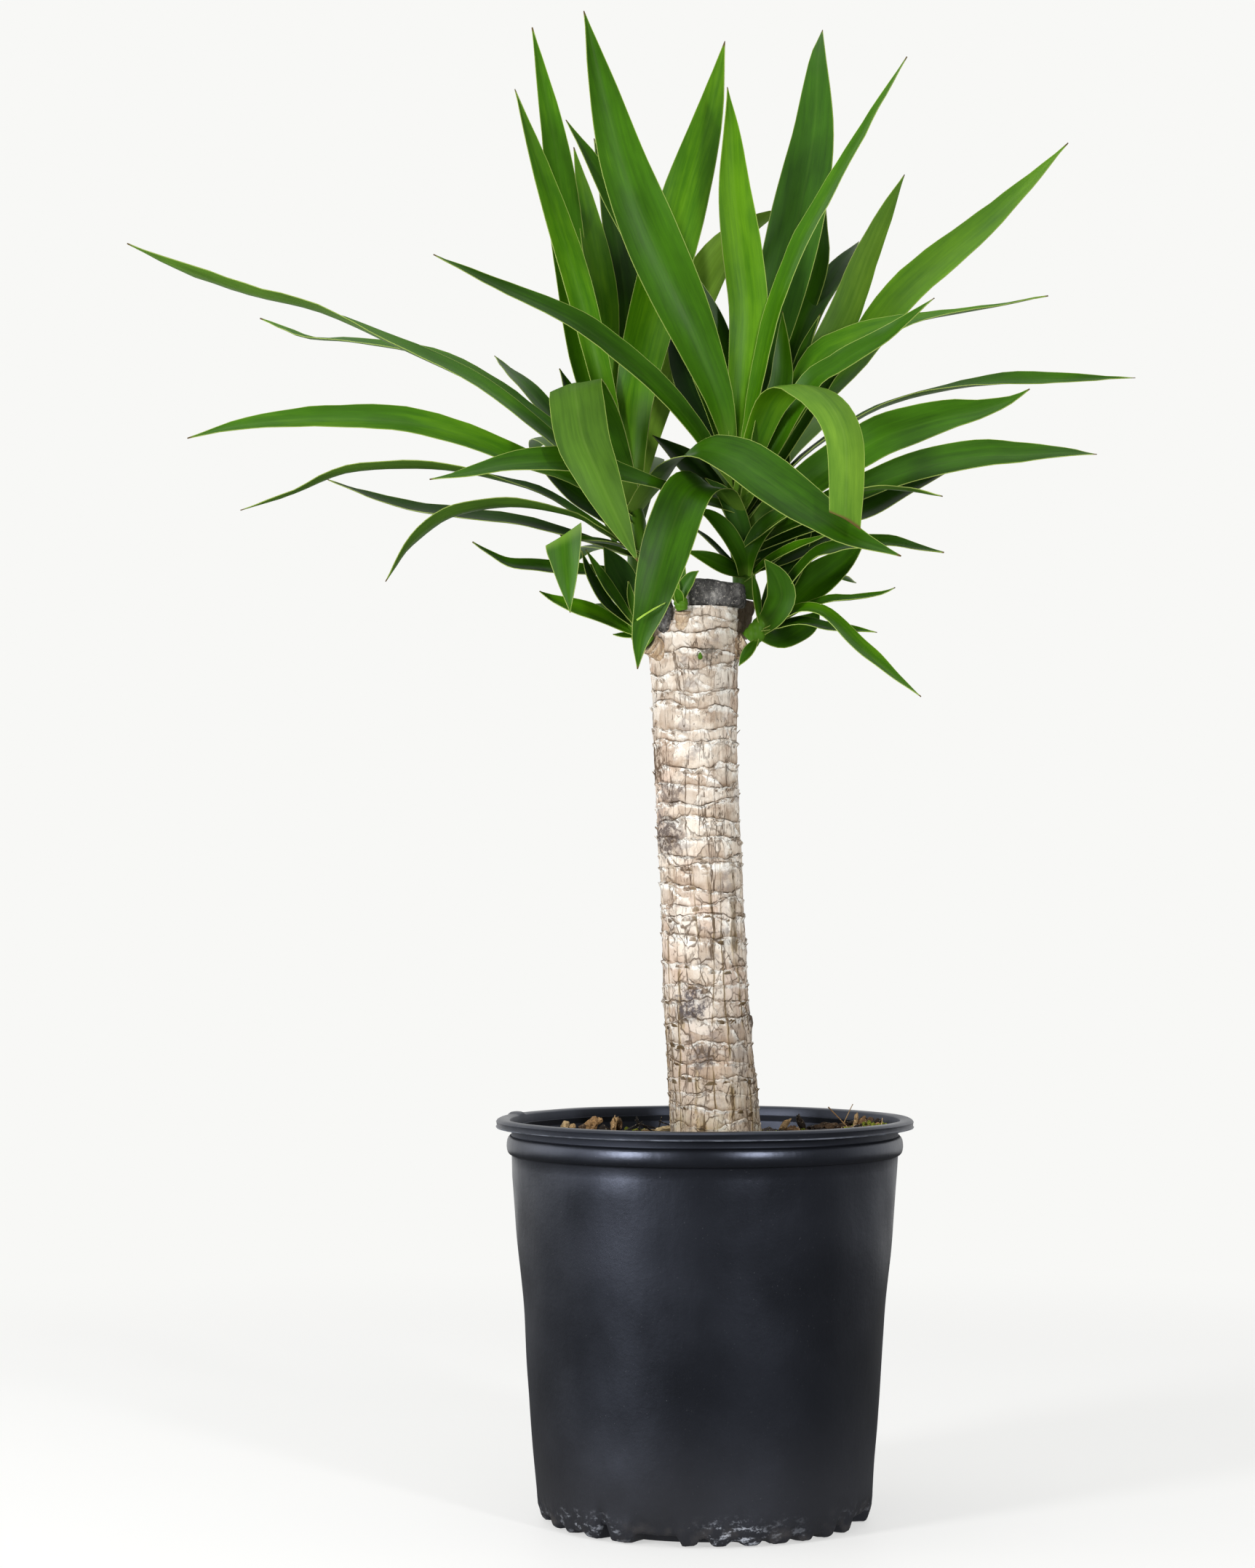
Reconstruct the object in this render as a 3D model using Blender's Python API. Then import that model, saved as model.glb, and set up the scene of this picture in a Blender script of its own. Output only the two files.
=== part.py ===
# Potted yucca: a cut cane with five leafy shoots, in a nursery pot full of soil.
# The origin is the middle of the pot's flat underside. +Z is up and -Y is the front.

import math
import random

import bmesh
import bpy
from mathutils import Vector

MM = 0.001
GAP = 0.0003

# Pot
POT_HEIGHT = 0.275
LIP_RADIUS = 0.1432
LIP_HEIGHT = 0.0068
LIP_INNER_RADIUS = 0.1335
BAND_RADIUS = 0.1353
BAND_BOTTOM_Z = 0.2505
WALL_TOP_RADIUS = 0.1325
WALL_FOOT_RADIUS = 0.1146
BASE_RADIUS = 0.1115
FOOT_Z = 0.012
WALL_THICKNESS = 0.0025
FLOOR_THICKNESS = 0.003
FLOOR_FLAT_RADIUS = 0.097
POT_SIDES = 72
TOOTH_NOTCH = 0.0032
DRAIN_NOTCH = 0.0085
DRAIN_ANGLES = (-18, 72, 162, 252)
DRAIN_HALF_WIDTH = 9

# Soil
SOIL_TOP_Z = 0.2615
SOIL_SIDES = 32
SOIL_RINGS = 6
SOIL_ROUGHNESS = 0.0022
CHIP_COUNT = 18
SEED = 11

# Cane
CANE_FOOT_Z = 0.180
CANE_TOP_Z = 0.6255
CANE_SIDES = 20
SCAR_PITCH = 0.0165
SCAR_LIP = 0.0011
SCAR_TILT = 0.0026
# height, middle x and radius up the cane, in mm
CANE_SHAPE = (
    (260, 8.0, 31.2), (284, 6.5, 30.5), (324, 3.3, 29.3), (354, 1.0, 28.9), (394, -0.5, 28.7),
    (434, -2.2, 28.1), (484, -4.5, 28.2), (524, -6.4, 28.3), (569, -6.8, 29.2), (594, -7.6, 30.4),
    (608, -6.5, 28.6), (626, -4.0, 26.5),
)

# Leaf blades
BLADE_THICKNESS = 0.0009
BLADE_ROOT = 0.38
BLADE_PEAK = 0.54
BLADE_KEEL = 0.16
BLADE_TIP_WIDTH = 0.0009
LONG_BLADE = 150 * MM

# The leaves were measured from one viewpoint, so their points are given where
# they line up with the cane's own plane, and seen_at moves them to their depth.
VIEWPOINT = Vector((-0.053, -2.34, 0.428))


def seen_at(x, z, depth):
    stretch = (depth * MM - VIEWPOINT.y) / -VIEWPOINT.y
    return Vector((
        VIEWPOINT.x + (x * MM - VIEWPOINT.x) * stretch,
        depth * MM,
        VIEWPOINT.z + (z * MM - VIEWPOINT.z) * stretch,
    ))


# A leaf is its widest breadth in mm and its points from root to tip. A point is x, z,
# depth and turn: at turn 0 the upper face looks to the front, at 90 up, at 180 back.
# sway moves the tip further back, or forward if below 0, and the rest less so. across,
# where a leaf folds over, is the fixed direction over its blade. end is the tip's
# breadth as a share of the widest.
def leaf(width, points, sway=0, across=None, end=0.0):
    last = len(points) - 1
    points = [(x, z, depth + sway * (i / last) ** 2, turn) for i, (x, z, depth, turn) in enumerate(points)]
    return {"width": width, "points": points, "across": across, "end": end}


LEFT_STEM = ((-40.5, 618.6, 3, 9), (-41.3, 628, 2, 9), (-43.5, 648, 0, 8.5), (-47, 678, 0, 7.5),
             (-50, 700, 0, 6), (-51, 716, 0, 4))
LEFT_LEAVES = (
    leaf(20, ((-50, 700, 0, 20), (-62, 745, -6, 20), (-86, 843, -10, 15), (-108, 913, -8, 20),
              (-130.5, 982, 0, 25)), sway=35),
    leaf(24, ((-50, 702, 3, 20), (-80, 780, 10, 20), (-93, 868, 14, 10), (-102.5, 943, 14, 10),
              (-118.5, 1024.5, 12, 20)), sway=50),
    leaf(18, ((-50, 706, 1, 30), (-66.5, 783, 2, 30), (-70, 840, 2, 25), (-79.5, 893, 4, 20),
              (-90, 942, 6, 30)), sway=60),
    leaf(22, ((-51, 708, 4, 25), (-51, 765, 14, 20), (-55, 843, 18, 15), (-65, 903, 20, 20),
              (-76, 948, 22, 30)), sway=70),
    leaf(36, ((-50, 698, 0, 15), (-48.5, 763, 0, 10), (-39, 813, 2, 5), (-14.5, 903, 6, 10),
              (2.5, 962, 10, 15), (14, 1015, 16, 25)), sway=25),
    leaf(28, ((-50, 700, 5, 160), (-36.5, 763, 28, 160), (-16.5, 818, 40, 155), (3.5, 857, 46, 150),
              (21, 880, 50, 140), (41, 893, 52, 130), (58, 899, 54, 120)), sway=30),
    leaf(30, ((-49, 690, -4, 60), (-84, 723, -12, 62), (-134, 765, -18, 64), (-164, 785, -20, 66),
              (-214, 808, -20, 72), (-264, 830, -20, 88), (-314, 843, -20, 100),
              (-364, 861, -18, 115), (-397, 876, -16, 115)), sway=40),
    leaf(22, ((-49, 692, 4, 60), (-84, 728, 12, 60), (-114, 756, 14, 62), (-174, 795, 16, 65),
              (-234, 807, 16, 75), (-274, 809, 16, 85), (-290, 816, 16, 70), (-305.5, 824.5, 14, 60)),
         sway=70),
    leaf(16, ((-50, 700, 8, 60), (-84, 733, 26, 55), (-119, 774, 32, 52), (-134, 788, 33, 55),
              (-144.5, 798.5, 34, 60)), sway=60),
    leaf(27, ((-49, 686, -5, 50), (-84, 712, -16, 48), (-124, 727, -22, 48), (-164, 743, -26, 46),
              (-204, 753.5, -28, 44), (-244, 756, -30, 42), (-284, 755, -32, 42), (-320, 751, -32, 42),
              (-355.5, 742, -32, 50)), sway=-50),
    leaf(24, ((-48, 668, -4, 62), (-69, 678, -10, 62), (-104, 701, -18, 70), (-134, 712, -24, 80),
              (-184, 722, -30, 96), (-244, 720, -32, 102), (-284, 704, -34, 104),
              (-319, 692.5, -34, 104)), sway=-25),
    leaf(24, ((-46, 660, -3, 68), (-84, 673, -12, 66), (-124, 684, -16, 66), (-164, 689, -18, 66),
              (-204, 695, -20, 66), (-234, 704, -20, 68), (-259, 713.5, -20, 72)), sway=50),
    leaf(22, ((-46, 663, -5, 95), (-74, 681, -22, 100), (-94, 690, -28, 104), (-134, 696, -34, 106),
              (-174, 690, -38, 110), (-201, 671, -40, 114), (-219, 643.5, -40, 116)), sway=-40),
    leaf(16, ((-43, 650, -5, 60), (-84, 651, -20, 60), (-114, 654, -22, 60), (-134, 656, -24, 60),
              (-148, 663, -24, 65), (-159.5, 671, -24, 70))),
    leaf(37, ((-50, 695, -4, 0), (-61, 725, -20, 0), (-73, 754, -38, 0), (-86, 776, -50, 0),
              (-89, 779, -57, 0), (-88, 767, -66, 0), (-84, 743, -77, 0), (-76, 723, -86, 0),
              (-65, 698, -90, 0), (-46, 657.5, -89, 0)), across=(-0.974, 0, -0.225)),
    leaf(24, ((-46, 668, -6, 0), (-78, 684, -36, 0), (-94, 682, -48, 0), (-97.5, 668, -53, 0),
              (-94.5, 651, -55, 0), (-92.5, 622.5, -55, 0)), across=(0.75, -0.65, 0)),
    leaf(34, ((-50, 694, -4, 20), (-36, 711, -13, 20), (-22, 722, -25, 24), (-9, 729, -41, 50),
              (3.5, 732, -54, 95), (16, 732, -68, 135), (36, 727, -86, 152), (66, 708, -102, 155),
              (91, 689, -112, 150), (116, 670, -120, 145), (136, 661, -126, 140))),
    leaf(28, ((-50, 690, 3, 0), (-62, 735, 50, 0), (-75, 762, 110, 0), (-85, 762, 170, 0),
              (-90, 742, 225, 0)), across=(1, 0, 0)),
    leaf(26, ((-49, 685, 3, 0), (-76, 715, 50, 0), (-98, 738, 100, 0), (-112, 742, 150, 0),
              (-120, 732, 200, 0)), across=(0.9, 0.4, 0)),
    leaf(28, ((-48, 670, 4, 0), (-55, 690, 60, 0), (-60, 700, 120, 0), (-62, 690, 180, 0),
              (-62, 668, 230, 0)), across=(1, 0, 0)),
    leaf(26, ((-48, 680, 4, 0), (-44, 712, 60, 0), (-40, 728, 120, 0), (-40, 726, 180, 0),
              (-38, 710, 230, 0)), across=(1, -0.2, 0)),
    leaf(20, ((-44, 660, 4, 0), (-66, 668, 60, 0), (-84, 666, 115, 0), (-94, 654, 165, 0)),
         across=(0.95, 0.3, 0)),
)

CENTRE_STEM = ((26, 632, 12, 9), (27.5, 645, 11, 8), (26, 660, 9, 8), (24, 685, 5, 7.5), (22, 707, 2, 6.5),
               (20, 728, 0, 4))
CENTRE_LEAVES = (
    leaf(39, ((21, 718, 0, 20), (11.5, 763, -16, 20), (-1, 798, -26, 15), (-14, 829, -33, 10),
              (-35.5, 878, -40, 5), (-55, 928, -42, 10), (-71, 986, -40, 15), (-83, 1036, -36, 25)),
         sway=-10),
    leaf(26, ((21, 718, 2, 20), (-4, 798, -8, 20), (-31.5, 858, -14, 20), (-59, 903, -16, 20),
              (-78, 934, -17, 30), (-95.5, 961, -17, 40)), sway=20),
    leaf(28, ((22, 712, -1, 5), (27, 783, -14, 5), (30, 828, -16, 5), (26, 868, -16, 5),
              (20.5, 913, -14, 5), (18.5, 953, -12, 10), (15.5, 983.5, -10, 20)), sway=15),
    leaf(38, ((22, 712, 4, 20), (36, 783, 8, 15), (52, 843, 10, 10), (66, 903, 12, 10),
              (75, 953, 14, 15), (78, 1003, 16, 20), (81, 1022.5, 16, 25)), sway=60),
    leaf(24, ((23, 702, -3, 60), (36, 778, -22, 60), (46, 823, -26, 60), (58.5, 858, -28, 60),
              (71, 886, -28, 60), (103.5, 943, -26, 62), (123.5, 978, -24, 64), (139, 1004.5, -22, 66)),
         sway=10),
    leaf(22, ((23, 702, 6, 20), (52, 793, 22, 20), (75, 858, 26, 10), (78, 888, 27, 10),
              (80, 928.5, 28, 20)), sway=40),
    leaf(26, ((24, 697, 6, 30), (61, 803, 16, 30), (73.5, 833, 18, 30), (86, 851, 18, 30),
              (98.5, 868, 18, 35), (106, 877, 18, 40)), sway=60),
    leaf(25, ((24, 697, 4, 150), (62, 763, 8, 150), (94, 821, 10, 145), (112, 867, 12, 145),
              (128, 903, 12, 145), (137.5, 923.5, 12, 140)), sway=30),
    leaf(15, ((24, 699, 0, 30), (50, 750, -6, 30), (63.5, 783, -6, 30), (70, 806, -6, 35),
              (79.5, 827.5, -6, 50)), sway=10),
    leaf(17, ((23, 704, -1, 10), (42, 750, -10, 10), (52, 778, -12, 5), (53.5, 798, -12, 5),
              (53.5, 829.5, -12, 15))),
    leaf(18, ((21, 714, 4, 20), (16, 783, 0, 20), (8.5, 818, -4, 20), (-3, 846, -8, 25),
              (-10, 858, -10, 35))),
    leaf(30, ((21, 714, 5, 30), (-6.5, 773, 14, 30), (-17, 800, 18, 30), (-26, 826, 20, 35))),
    leaf(25, ((22, 708, -3, 45), (-9, 752, -30, 45), (-28, 774, -40, 45), (-49, 793, -48, 46),
              (-74, 813, -54, 48), (-101, 829, -58, 50), (-144, 848, -62, 52), (-186.5, 868.5, -62, 58)),
         sway=-30),
    leaf(27, ((23, 692, -2, 55), (-21.5, 706, -42, 66), (-54, 716.5, -53, 60), (-84, 726, -57, 42),
              (-104, 727, -62, 42), (-124, 726, -68, 42), (-144, 723, -74, 45), (-164, 718, -78, 48),
              (-189, 713.5, -82, 55))),
    leaf(34, ((24, 688, -3, 0), (11, 707, -28, 0), (-3, 711, -50, 0), (-13.5, 702, -66, 0),
              (-23, 678, -77, 0), (-32, 648, -82, 0), (-37.5, 626, -83, 0), (-44, 604, -80, 0),
              (-46, 583.5, -76, 0)), across=(0.93, 0, -0.37)),
    leaf(26, ((23, 700, -3, 0), (36, 743, -18, 0), (47, 768, -34, 0), (60, 778, -52, 0),
              (75, 774, -68, 0), (88.5, 761, -84, 0), (96, 743, -98, 0), (97.5, 718, -112, 0),
              (96.5, 686, -128, 0)), across=(-1, 0, 0), end=0.8),
    leaf(27, ((24, 690, 4, 50), (58, 746, 16, 45), (101, 791, 26, 42), (135, 833, 32, 40),
              (165, 860, 36, 40), (194, 885, 38, 42), (223, 914, 40, 45), (250, 945, 40, 50)), sway=60),
    leaf(20, ((25, 688, 2, 40), (71, 763, 2, 40), (88.5, 788, 0, 45), (116, 808, 0, 60)), sway=20),
    leaf(26, ((24, 695, -3, 30), (61, 763, -12, 30), (78.5, 796, -14, 28), (98.5, 808, -14, 35),
              (121, 817, -12, 50), (146, 824, -10, 66), (176, 829, -8, 74), (206, 834, -6, 76),
              (236, 840, -4, 78)), sway=30),
    leaf(20, ((24, 690, -3, 40), (68, 773, -26, 40), (91, 793, -30, 40), (121, 811, -32, 35),
              (136, 822, -32, 35), (158, 838.5, -30, 45)), sway=-20),
    leaf(24, ((25, 680, 0, 75), (63.5, 726, -8, 80), (107.5, 757, -10, 82), (136, 769, -10, 82),
              (166, 776, -10, 78), (191, 780, -10, 66), (216, 782.5, -8, 54), (256, 783, -6, 52),
              (296, 783.5, -4, 60)), sway=50),
    leaf(32, ((25, 675, -2, 20), (76, 716, -24, 22), (107.5, 735, -30, 25), (126, 745, -32, 25),
              (166, 757, -34, 28), (188.5, 761, -34, 35), (211, 768.5, -34, 40), (223.5, 776, -34, 50)),
         sway=-20),
    leaf(30, ((26, 668, -2, 45), (76, 693, -30, 50), (107.5, 707, -38, 48), (146, 722, -42, 45),
              (186, 730, -44, 40), (216, 731, -44, 40), (246, 732, -44, 45), (269.5, 731, -44, 60)),
         sway=-60),
    leaf(24, ((26, 662, 0, 50), (76, 684, -12, 50), (111, 693, -14, 50), (131, 703, -14, 50),
              (151, 712, -14, 55), (172, 722, -14, 60)), sway=-10),
    leaf(16, ((26, 666, -3, 80), (66, 693, -46, 80), (107.5, 706, -56, 84), (136, 707, -58, 100),
              (163.5, 702, -58, 100)), sway=-30),
    leaf(13, ((27, 650, 6, 30), (21, 668, -4, 20), (12.5, 686, -12, 20), (0, 698, -20, 30))),
    leaf(14, ((26, 655, 4, 20), (24, 680, -8, 10), (18, 704, -14, 10), (13, 718, -22, 20))),
    leaf(14, ((27, 652, 5, 30), (36, 676, -8, 30), (51, 690, -16, 40), (72, 702, -24, 50))),
    leaf(9, ((27, 648, 8, 60), (3.5, 671, 2, 60), (-9, 682, -4, 60))),
    leaf(14, ((26.5, 649, 5, 40), (16, 653, -5, 40), (1, 659.5, -11, 40), (-15, 662, -13, 50))),
    leaf(26, ((27, 648, 6, 40), (46, 668, 0, 35), (54, 690, -2, 30), (58, 712, -6, 40))),
    leaf(9, ((27, 644, 6, 60), (46, 656, -14, 60), (66, 669, -22, 60), (76, 672, -24, 60),
             (86, 676, -26, 60))),
    leaf(28, ((23, 700, 4, 0), (30, 742, 60, 0), (34, 772, 130, 0), (36, 772, 200, 0),
              (36, 752, 250, 0)), across=(1, 0, 0)),
    leaf(26, ((24, 690, 6, 0), (52, 730, 55, 0), (78, 757, 110, 0), (92, 762, 165, 0),
              (100, 748, 215, 0)), across=(0.9, -0.45, 0)),
    leaf(26, ((24, 680, 7, 0), (10, 716, 60, 0), (2, 732, 120, 0), (-1, 730, 180, 0),
              (-2, 712, 230, 0)), across=(1, 0.2, 0)),
    leaf(24, ((26, 668, 8, 0), (56, 690, 50, 0), (84, 704, 95, 0), (104, 702, 140, 0),
              (116, 690, 185, 0)), across=(0.8, -0.6, 0)),
    leaf(24, ((27, 655, 10, 0), (32, 672, 60, 0), (34, 676, 120, 0), (33, 664, 175, 0),
              (30, 645, 220, 0)), across=(1, 0, 0)),
)

RIGHT_STEM = ((30.5, 603.5, -5, 7), (36, 609.5, -6, 6.8), (40.5, 617, -7, 5.5), (42.5, 624, -8, 3))
RIGHT_LEAVES = (
    leaf(22, ((40, 618, -8, 62), (71, 658, -38, 70), (91, 667, -48, 60), (106, 670, -54, 58),
              (126, 670.5, -58, 56), (146, 667, -60, 58), (164.5, 663.5, -60, 62)), sway=-25),
    leaf(28, ((39, 612, -6, 40), (58.5, 628, -4, 35), (76, 643, -4, 30), (96, 658, -6, 35),
              (113, 676, -8, 50))),
    leaf(14, ((41, 616, -8, 66), (81, 630, -24, 66), (101, 632, -26, 66), (121, 635, -26, 66),
              (131, 639.5, -26, 70)), sway=-10),
    leaf(18, ((40, 612, -8, 60), (63.5, 624, -28, 60), (78.5, 624, -34, 56), (91, 615, -38, 54),
              (103.5, 602, -40, 52), (118.5, 589, -42, 52), (136, 574, -44, 54), (148.5, 564.5, -44, 60)),
         sway=-30),
    leaf(16, ((38, 610, -8, 64), (66, 616, -24, 64), (86, 612, -28, 64), (106, 610, -30, 66),
              (118.5, 608.5, -30, 70)), sway=-10),
    leaf(25, ((35, 607, -4, 45), (51, 604, 0, 40), (66, 612, 4, 35), (79, 623, 6, 45)), sway=20),
    leaf(24, ((40, 614, -9, 10), (50, 628, -26, 10), (55, 640, -34, 10), (46, 658, -38, 20))),
    leaf(6, ((38, 614, -10, 20), (35, 638, -22, 20), (32.5, 651, -24, 20))),
    leaf(9, ((34.5, 606, -11, 40), (33, 597, -20, 20), (29.5, 587, -21, 20)), end=0.2),
    leaf(22, ((40, 616, -5, 0), (52, 630, 40, 0), (62, 634, 80, 0), (68, 624, 115, 0)),
         across=(1, -0.3, 0)),
    leaf(20, ((41, 618, -6, 0), (66, 638, 30, 0), (88, 648, 60, 0), (104, 643, 90, 0)),
         across=(0.7, -0.7, 0)),
)

LEFT_LOW_STEM = ((-38.5, 601, -19, 5.5), (-44, 606, -20, 6), (-48, 614, -21, 5), (-49, 621, -21, 3))
LEFT_LOW_LEAVES = (
    leaf(18, ((-46, 607, -21, 55), (-61.5, 615, -26, 52), (-76.5, 622, -30, 50), (-91.5, 627, -32, 50),
              (-104, 631.5, -32, 52), (-113.5, 637, -32, 58))),
    leaf(8, ((-45, 605.5, -21, 60), (-56, 606.5, -22, 60), (-63, 607, -22, 60))),
    leaf(12, ((-48, 612, -22, 50), (-66.5, 628, -30, 50), (-78, 646, -34, 50), (-85, 665, -36, 55))),
    leaf(12, ((-48, 614, -23, 50), (-60, 631, -34, 50), (-71.5, 648, -40, 50), (-82, 665.5, -43, 55))),
    leaf(20, ((-48.5, 616, -21, 20), (-52, 633, -23, 20), (-61, 652, -28, 20), (-70, 668, -32, 40))),
    leaf(6, ((-48.5, 618, -22, 30), (-51, 633, -27, 30), (-52.5, 644, -29, 30))),
    leaf(16, ((-47, 612, -19, 0), (-60, 624, -2, 0), (-72, 628, 22, 0), (-82, 622, 46, 0)),
         across=(0.9, 0.3, 0)),
)

FRONT_STEM = ((-15.5, 624, -29, 3.6), (-16.3, 629, -29.5, 4.8), (-17, 634, -30, 3.6), (-17.5, 638, -30, 1.6))
FRONT_LEAVES = (
    leaf(10, ((-17, 629, -30, 20), (-14, 639, -32, 20), (-9, 647, -33, 20), (-4, 651, -33, 30))),
    leaf(11, ((-18, 631, -29, 30), (-18, 645, -28, 25), (-15.5, 662, -28, 30))),
    leaf(8, ((-17.5, 629, -30, 10), (-21, 637, -33, 10), (-20, 648.5, -34, 20))),
    leaf(7, ((-17, 629, -31, 10), (-17.5, 632, -36, 10), (-20, 640, -39, 20))),
)

BUD_STEM = ((-3, 590.5, -31.5, 2.2), (-3, 593, -34, 2.8), (-3.2, 596, -35.5, 2.2), (-3, 599.5, -36, 0.7))

# Wax cap: each ring's share of the full outline and its height in mm
WAX_MIDDLE = (7.2, -9.5)
WAX_REACH = (20.4, 13.5)
WAX_RINGS = ((0.9, 625.8), (1.0, 628.5), (1.0, 640.0), (0.95, 642.8), (0.8, 644.0))
WAX_SIDES = 22

# Wax patch: an oval dab over the cane's front left shoulder
PATCH_MIDDLE = (-26.8, -17.0, 620.3)
PATCH_SIZE = (5.8, 7.5, 12.0)

# Collars: the tan stubs of the cane that the shoots grow from, each as its
# middle, its direction and its radius, in mm
COLLARS = {
    "left": ((-34, 3, 599), (-0.2, 0, 1), 10.5, 17),
    "centre": ((21.5, 13, 606), (0.15, 0, 1), 10.5, 26.2),
    "right": ((17, -4, 594), (0.86, -0.1, 0.5), 8.5, 13.5),
    "left_low": ((-27, -15, 592), (-0.8, -0.3, 0.55), 7.5, 13.2),
    "front": ((-15.5, -23, 609), (0, -0.25, 1), 5.5, 12.8),
}


# Scene helpers

def clear_scene():
    for item in list(bpy.data.objects):
        bpy.data.objects.remove(item)


def material(name, colour, roughness, metallic=0.0):
    look = bpy.data.materials.new(name)
    look.use_nodes = True
    shader = look.node_tree.nodes["Principled BSDF"]
    shader.inputs["Base Color"].default_value = (*colour, 1.0)
    shader.inputs["Roughness"].default_value = roughness
    shader.inputs["Metallic"].default_value = metallic
    return look


def mesh_object(name, bm, look=None):
    bmesh.ops.recalc_face_normals(bm, faces=bm.faces)
    mesh = bpy.data.meshes.new(name)
    bm.to_mesh(mesh)
    bm.free()
    item = bpy.data.objects.new(name, mesh)
    bpy.context.scene.collection.objects.link(item)
    if look:
        mesh.materials.append(look)
    return item


def apply_modifiers(item):
    graph = bpy.context.evaluated_depsgraph_get()
    mesh = bpy.data.meshes.new_from_object(item.evaluated_get(graph))
    item.modifiers.clear()
    item.data = mesh


def join_to(item, pieces):
    group = bpy.data.collections.new(item.name + "_pieces")
    for piece in pieces:
        bpy.context.scene.collection.objects.unlink(piece)
        group.objects.link(piece)
    bpy.context.scene.collection.children.link(group)
    union = item.modifiers.new("Join", "BOOLEAN")
    union.operation = "UNION"
    union.solver = "EXACT"
    union.operand_type = "COLLECTION"
    union.collection = group
    apply_modifiers(item)
    tidy_joints(item.data)
    for piece in list(group.objects):
        bpy.data.objects.remove(piece)
    bpy.data.collections.remove(group)


# The vertices of each connected shell, the largest first
def separate_shells(bm):
    left = set(bm.verts)
    shells = []
    while left:
        shell = []
        edge = [left.pop()]
        while edge:
            vertex = edge.pop()
            shell.append(vertex)
            near = [link.other_vert(vertex) for link in vertex.link_edges]
            for other in near:
                if other in left:
                    left.remove(other)
                    edge.append(other)
        shells.append(shell)
    return sorted(shells, key=len, reverse=True)


# Closes the slivers that a union leaves where two edges nearly meet, fills a pocket
# that blades seal between them and drops a loose scrap.
def tidy_joints(mesh):
    bm = bmesh.new()
    bm.from_mesh(mesh)
    bmesh.ops.remove_doubles(bm, verts=bm.verts, dist=4e-6)
    bmesh.ops.dissolve_degenerate(bm, edges=bm.edges, dist=4e-6)
    shells = separate_shells(bm)
    spare = [vertex for shell in shells[1:] for vertex in shell]
    bmesh.ops.delete(bm, geom=spare, context="VERTS")
    bm.to_mesh(mesh)
    bm.free()


def smooth(item, angle=40):
    item.data.shade_smooth()
    item.data.set_sharp_from_angle(angle=math.radians(angle))


# A grid bent round into a closed tube: place(u, v) gives each vertex, with u going
# once round and v from one end to the other.
def wrapped(sides, rows, place):
    bm = bmesh.new()
    bmesh.ops.create_grid(bm, x_segments=sides, y_segments=rows, size=0.5)
    for vertex in bm.verts:
        u = (vertex.co.x + 0.5) % 1.0 if vertex.co.x < 0.4999 else 0.0
        vertex.co = place(u, vertex.co.y + 0.5)
    bmesh.ops.remove_doubles(bm, verts=bm.verts, dist=1e-6)
    bmesh.ops.holes_fill(bm, edges=bm.edges)
    ends = [face for face in bm.faces if len(face.verts) > 4]
    bmesh.ops.triangulate(bm, faces=ends)
    return bm


# Curves

def between(p0, p1, p2, p3, t):
    return [
        0.5 * (2 * b + (c - a) * t + (2 * a - 5 * b + 4 * c - d) * t ** 2 + (3 * b - a - 3 * c + d) * t ** 3)
        for a, b, c, d in zip(p0, p1, p2, p3)
    ]


def smooth_points(points, count, steps=12):
    first = [2 * a - b for a, b in zip(points[0], points[1])]
    last = [2 * a - b for a, b in zip(points[-1], points[-2])]
    padded = [first, *points, last]
    fine = []
    for index in range(len(points) - 1):
        for step in range(steps):
            fine.append(between(*padded[index:index + 4], step / steps))
    fine.append(list(points[-1]))
    lengths = [0.0]
    for a, b in zip(fine, fine[1:]):
        lengths.append(lengths[-1] + math.dist(a[:3], b[:3]))
    spread = []
    for index in range(count):
        goal = lengths[-1] * index / (count - 1)
        spot = max(1, next(i for i, length in enumerate(lengths) if length >= goal - 1e-12))
        part = (goal - lengths[spot - 1]) / (lengths[spot] - lengths[spot - 1])
        spread.append([a + (b - a) * part for a, b in zip(fine[spot - 1], fine[spot])])
    return spread, lengths[-1]


# Leaves

def blade_breadth(t, end):
    if t < BLADE_PEAK:
        rise = math.sin(0.5 * math.pi * t / BLADE_PEAK)
        return BLADE_ROOT + (1 - BLADE_ROOT) * rise
    fall = (t - BLADE_PEAK) / (1 - BLADE_PEAK)
    return end + (1 - end) * (1 - fall ** 1.8)


def blade_frames(shape, count):
    points = [(*seen_at(x, z, depth), turn) for x, z, depth, turn in shape["points"]]
    spread, length = smooth_points(points, count)
    places = [Vector(point[:3]) for point in spread]
    lean = -1 if places[-1].x > places[0].x else 1
    frames = []
    for index, place in enumerate(places):
        ahead = places[min(index + 1, count - 1)] - places[max(index - 1, 0)]
        along = ahead.normalized()
        if shape["across"]:
            side = Vector(shape["across"])
            side = (side - side.dot(along) * along).normalized()
            face = along.cross(side)
        else:
            flat = Vector((-along.z, 0, along.x)).normalized()
            face = along.cross(flat).normalized()
            turn = lean * math.radians(spread[index][3])
            side = math.cos(turn) * flat + math.sin(turn) * face
            face = along.cross(side)
        frames.append((place, side, face))
    return frames, length


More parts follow.
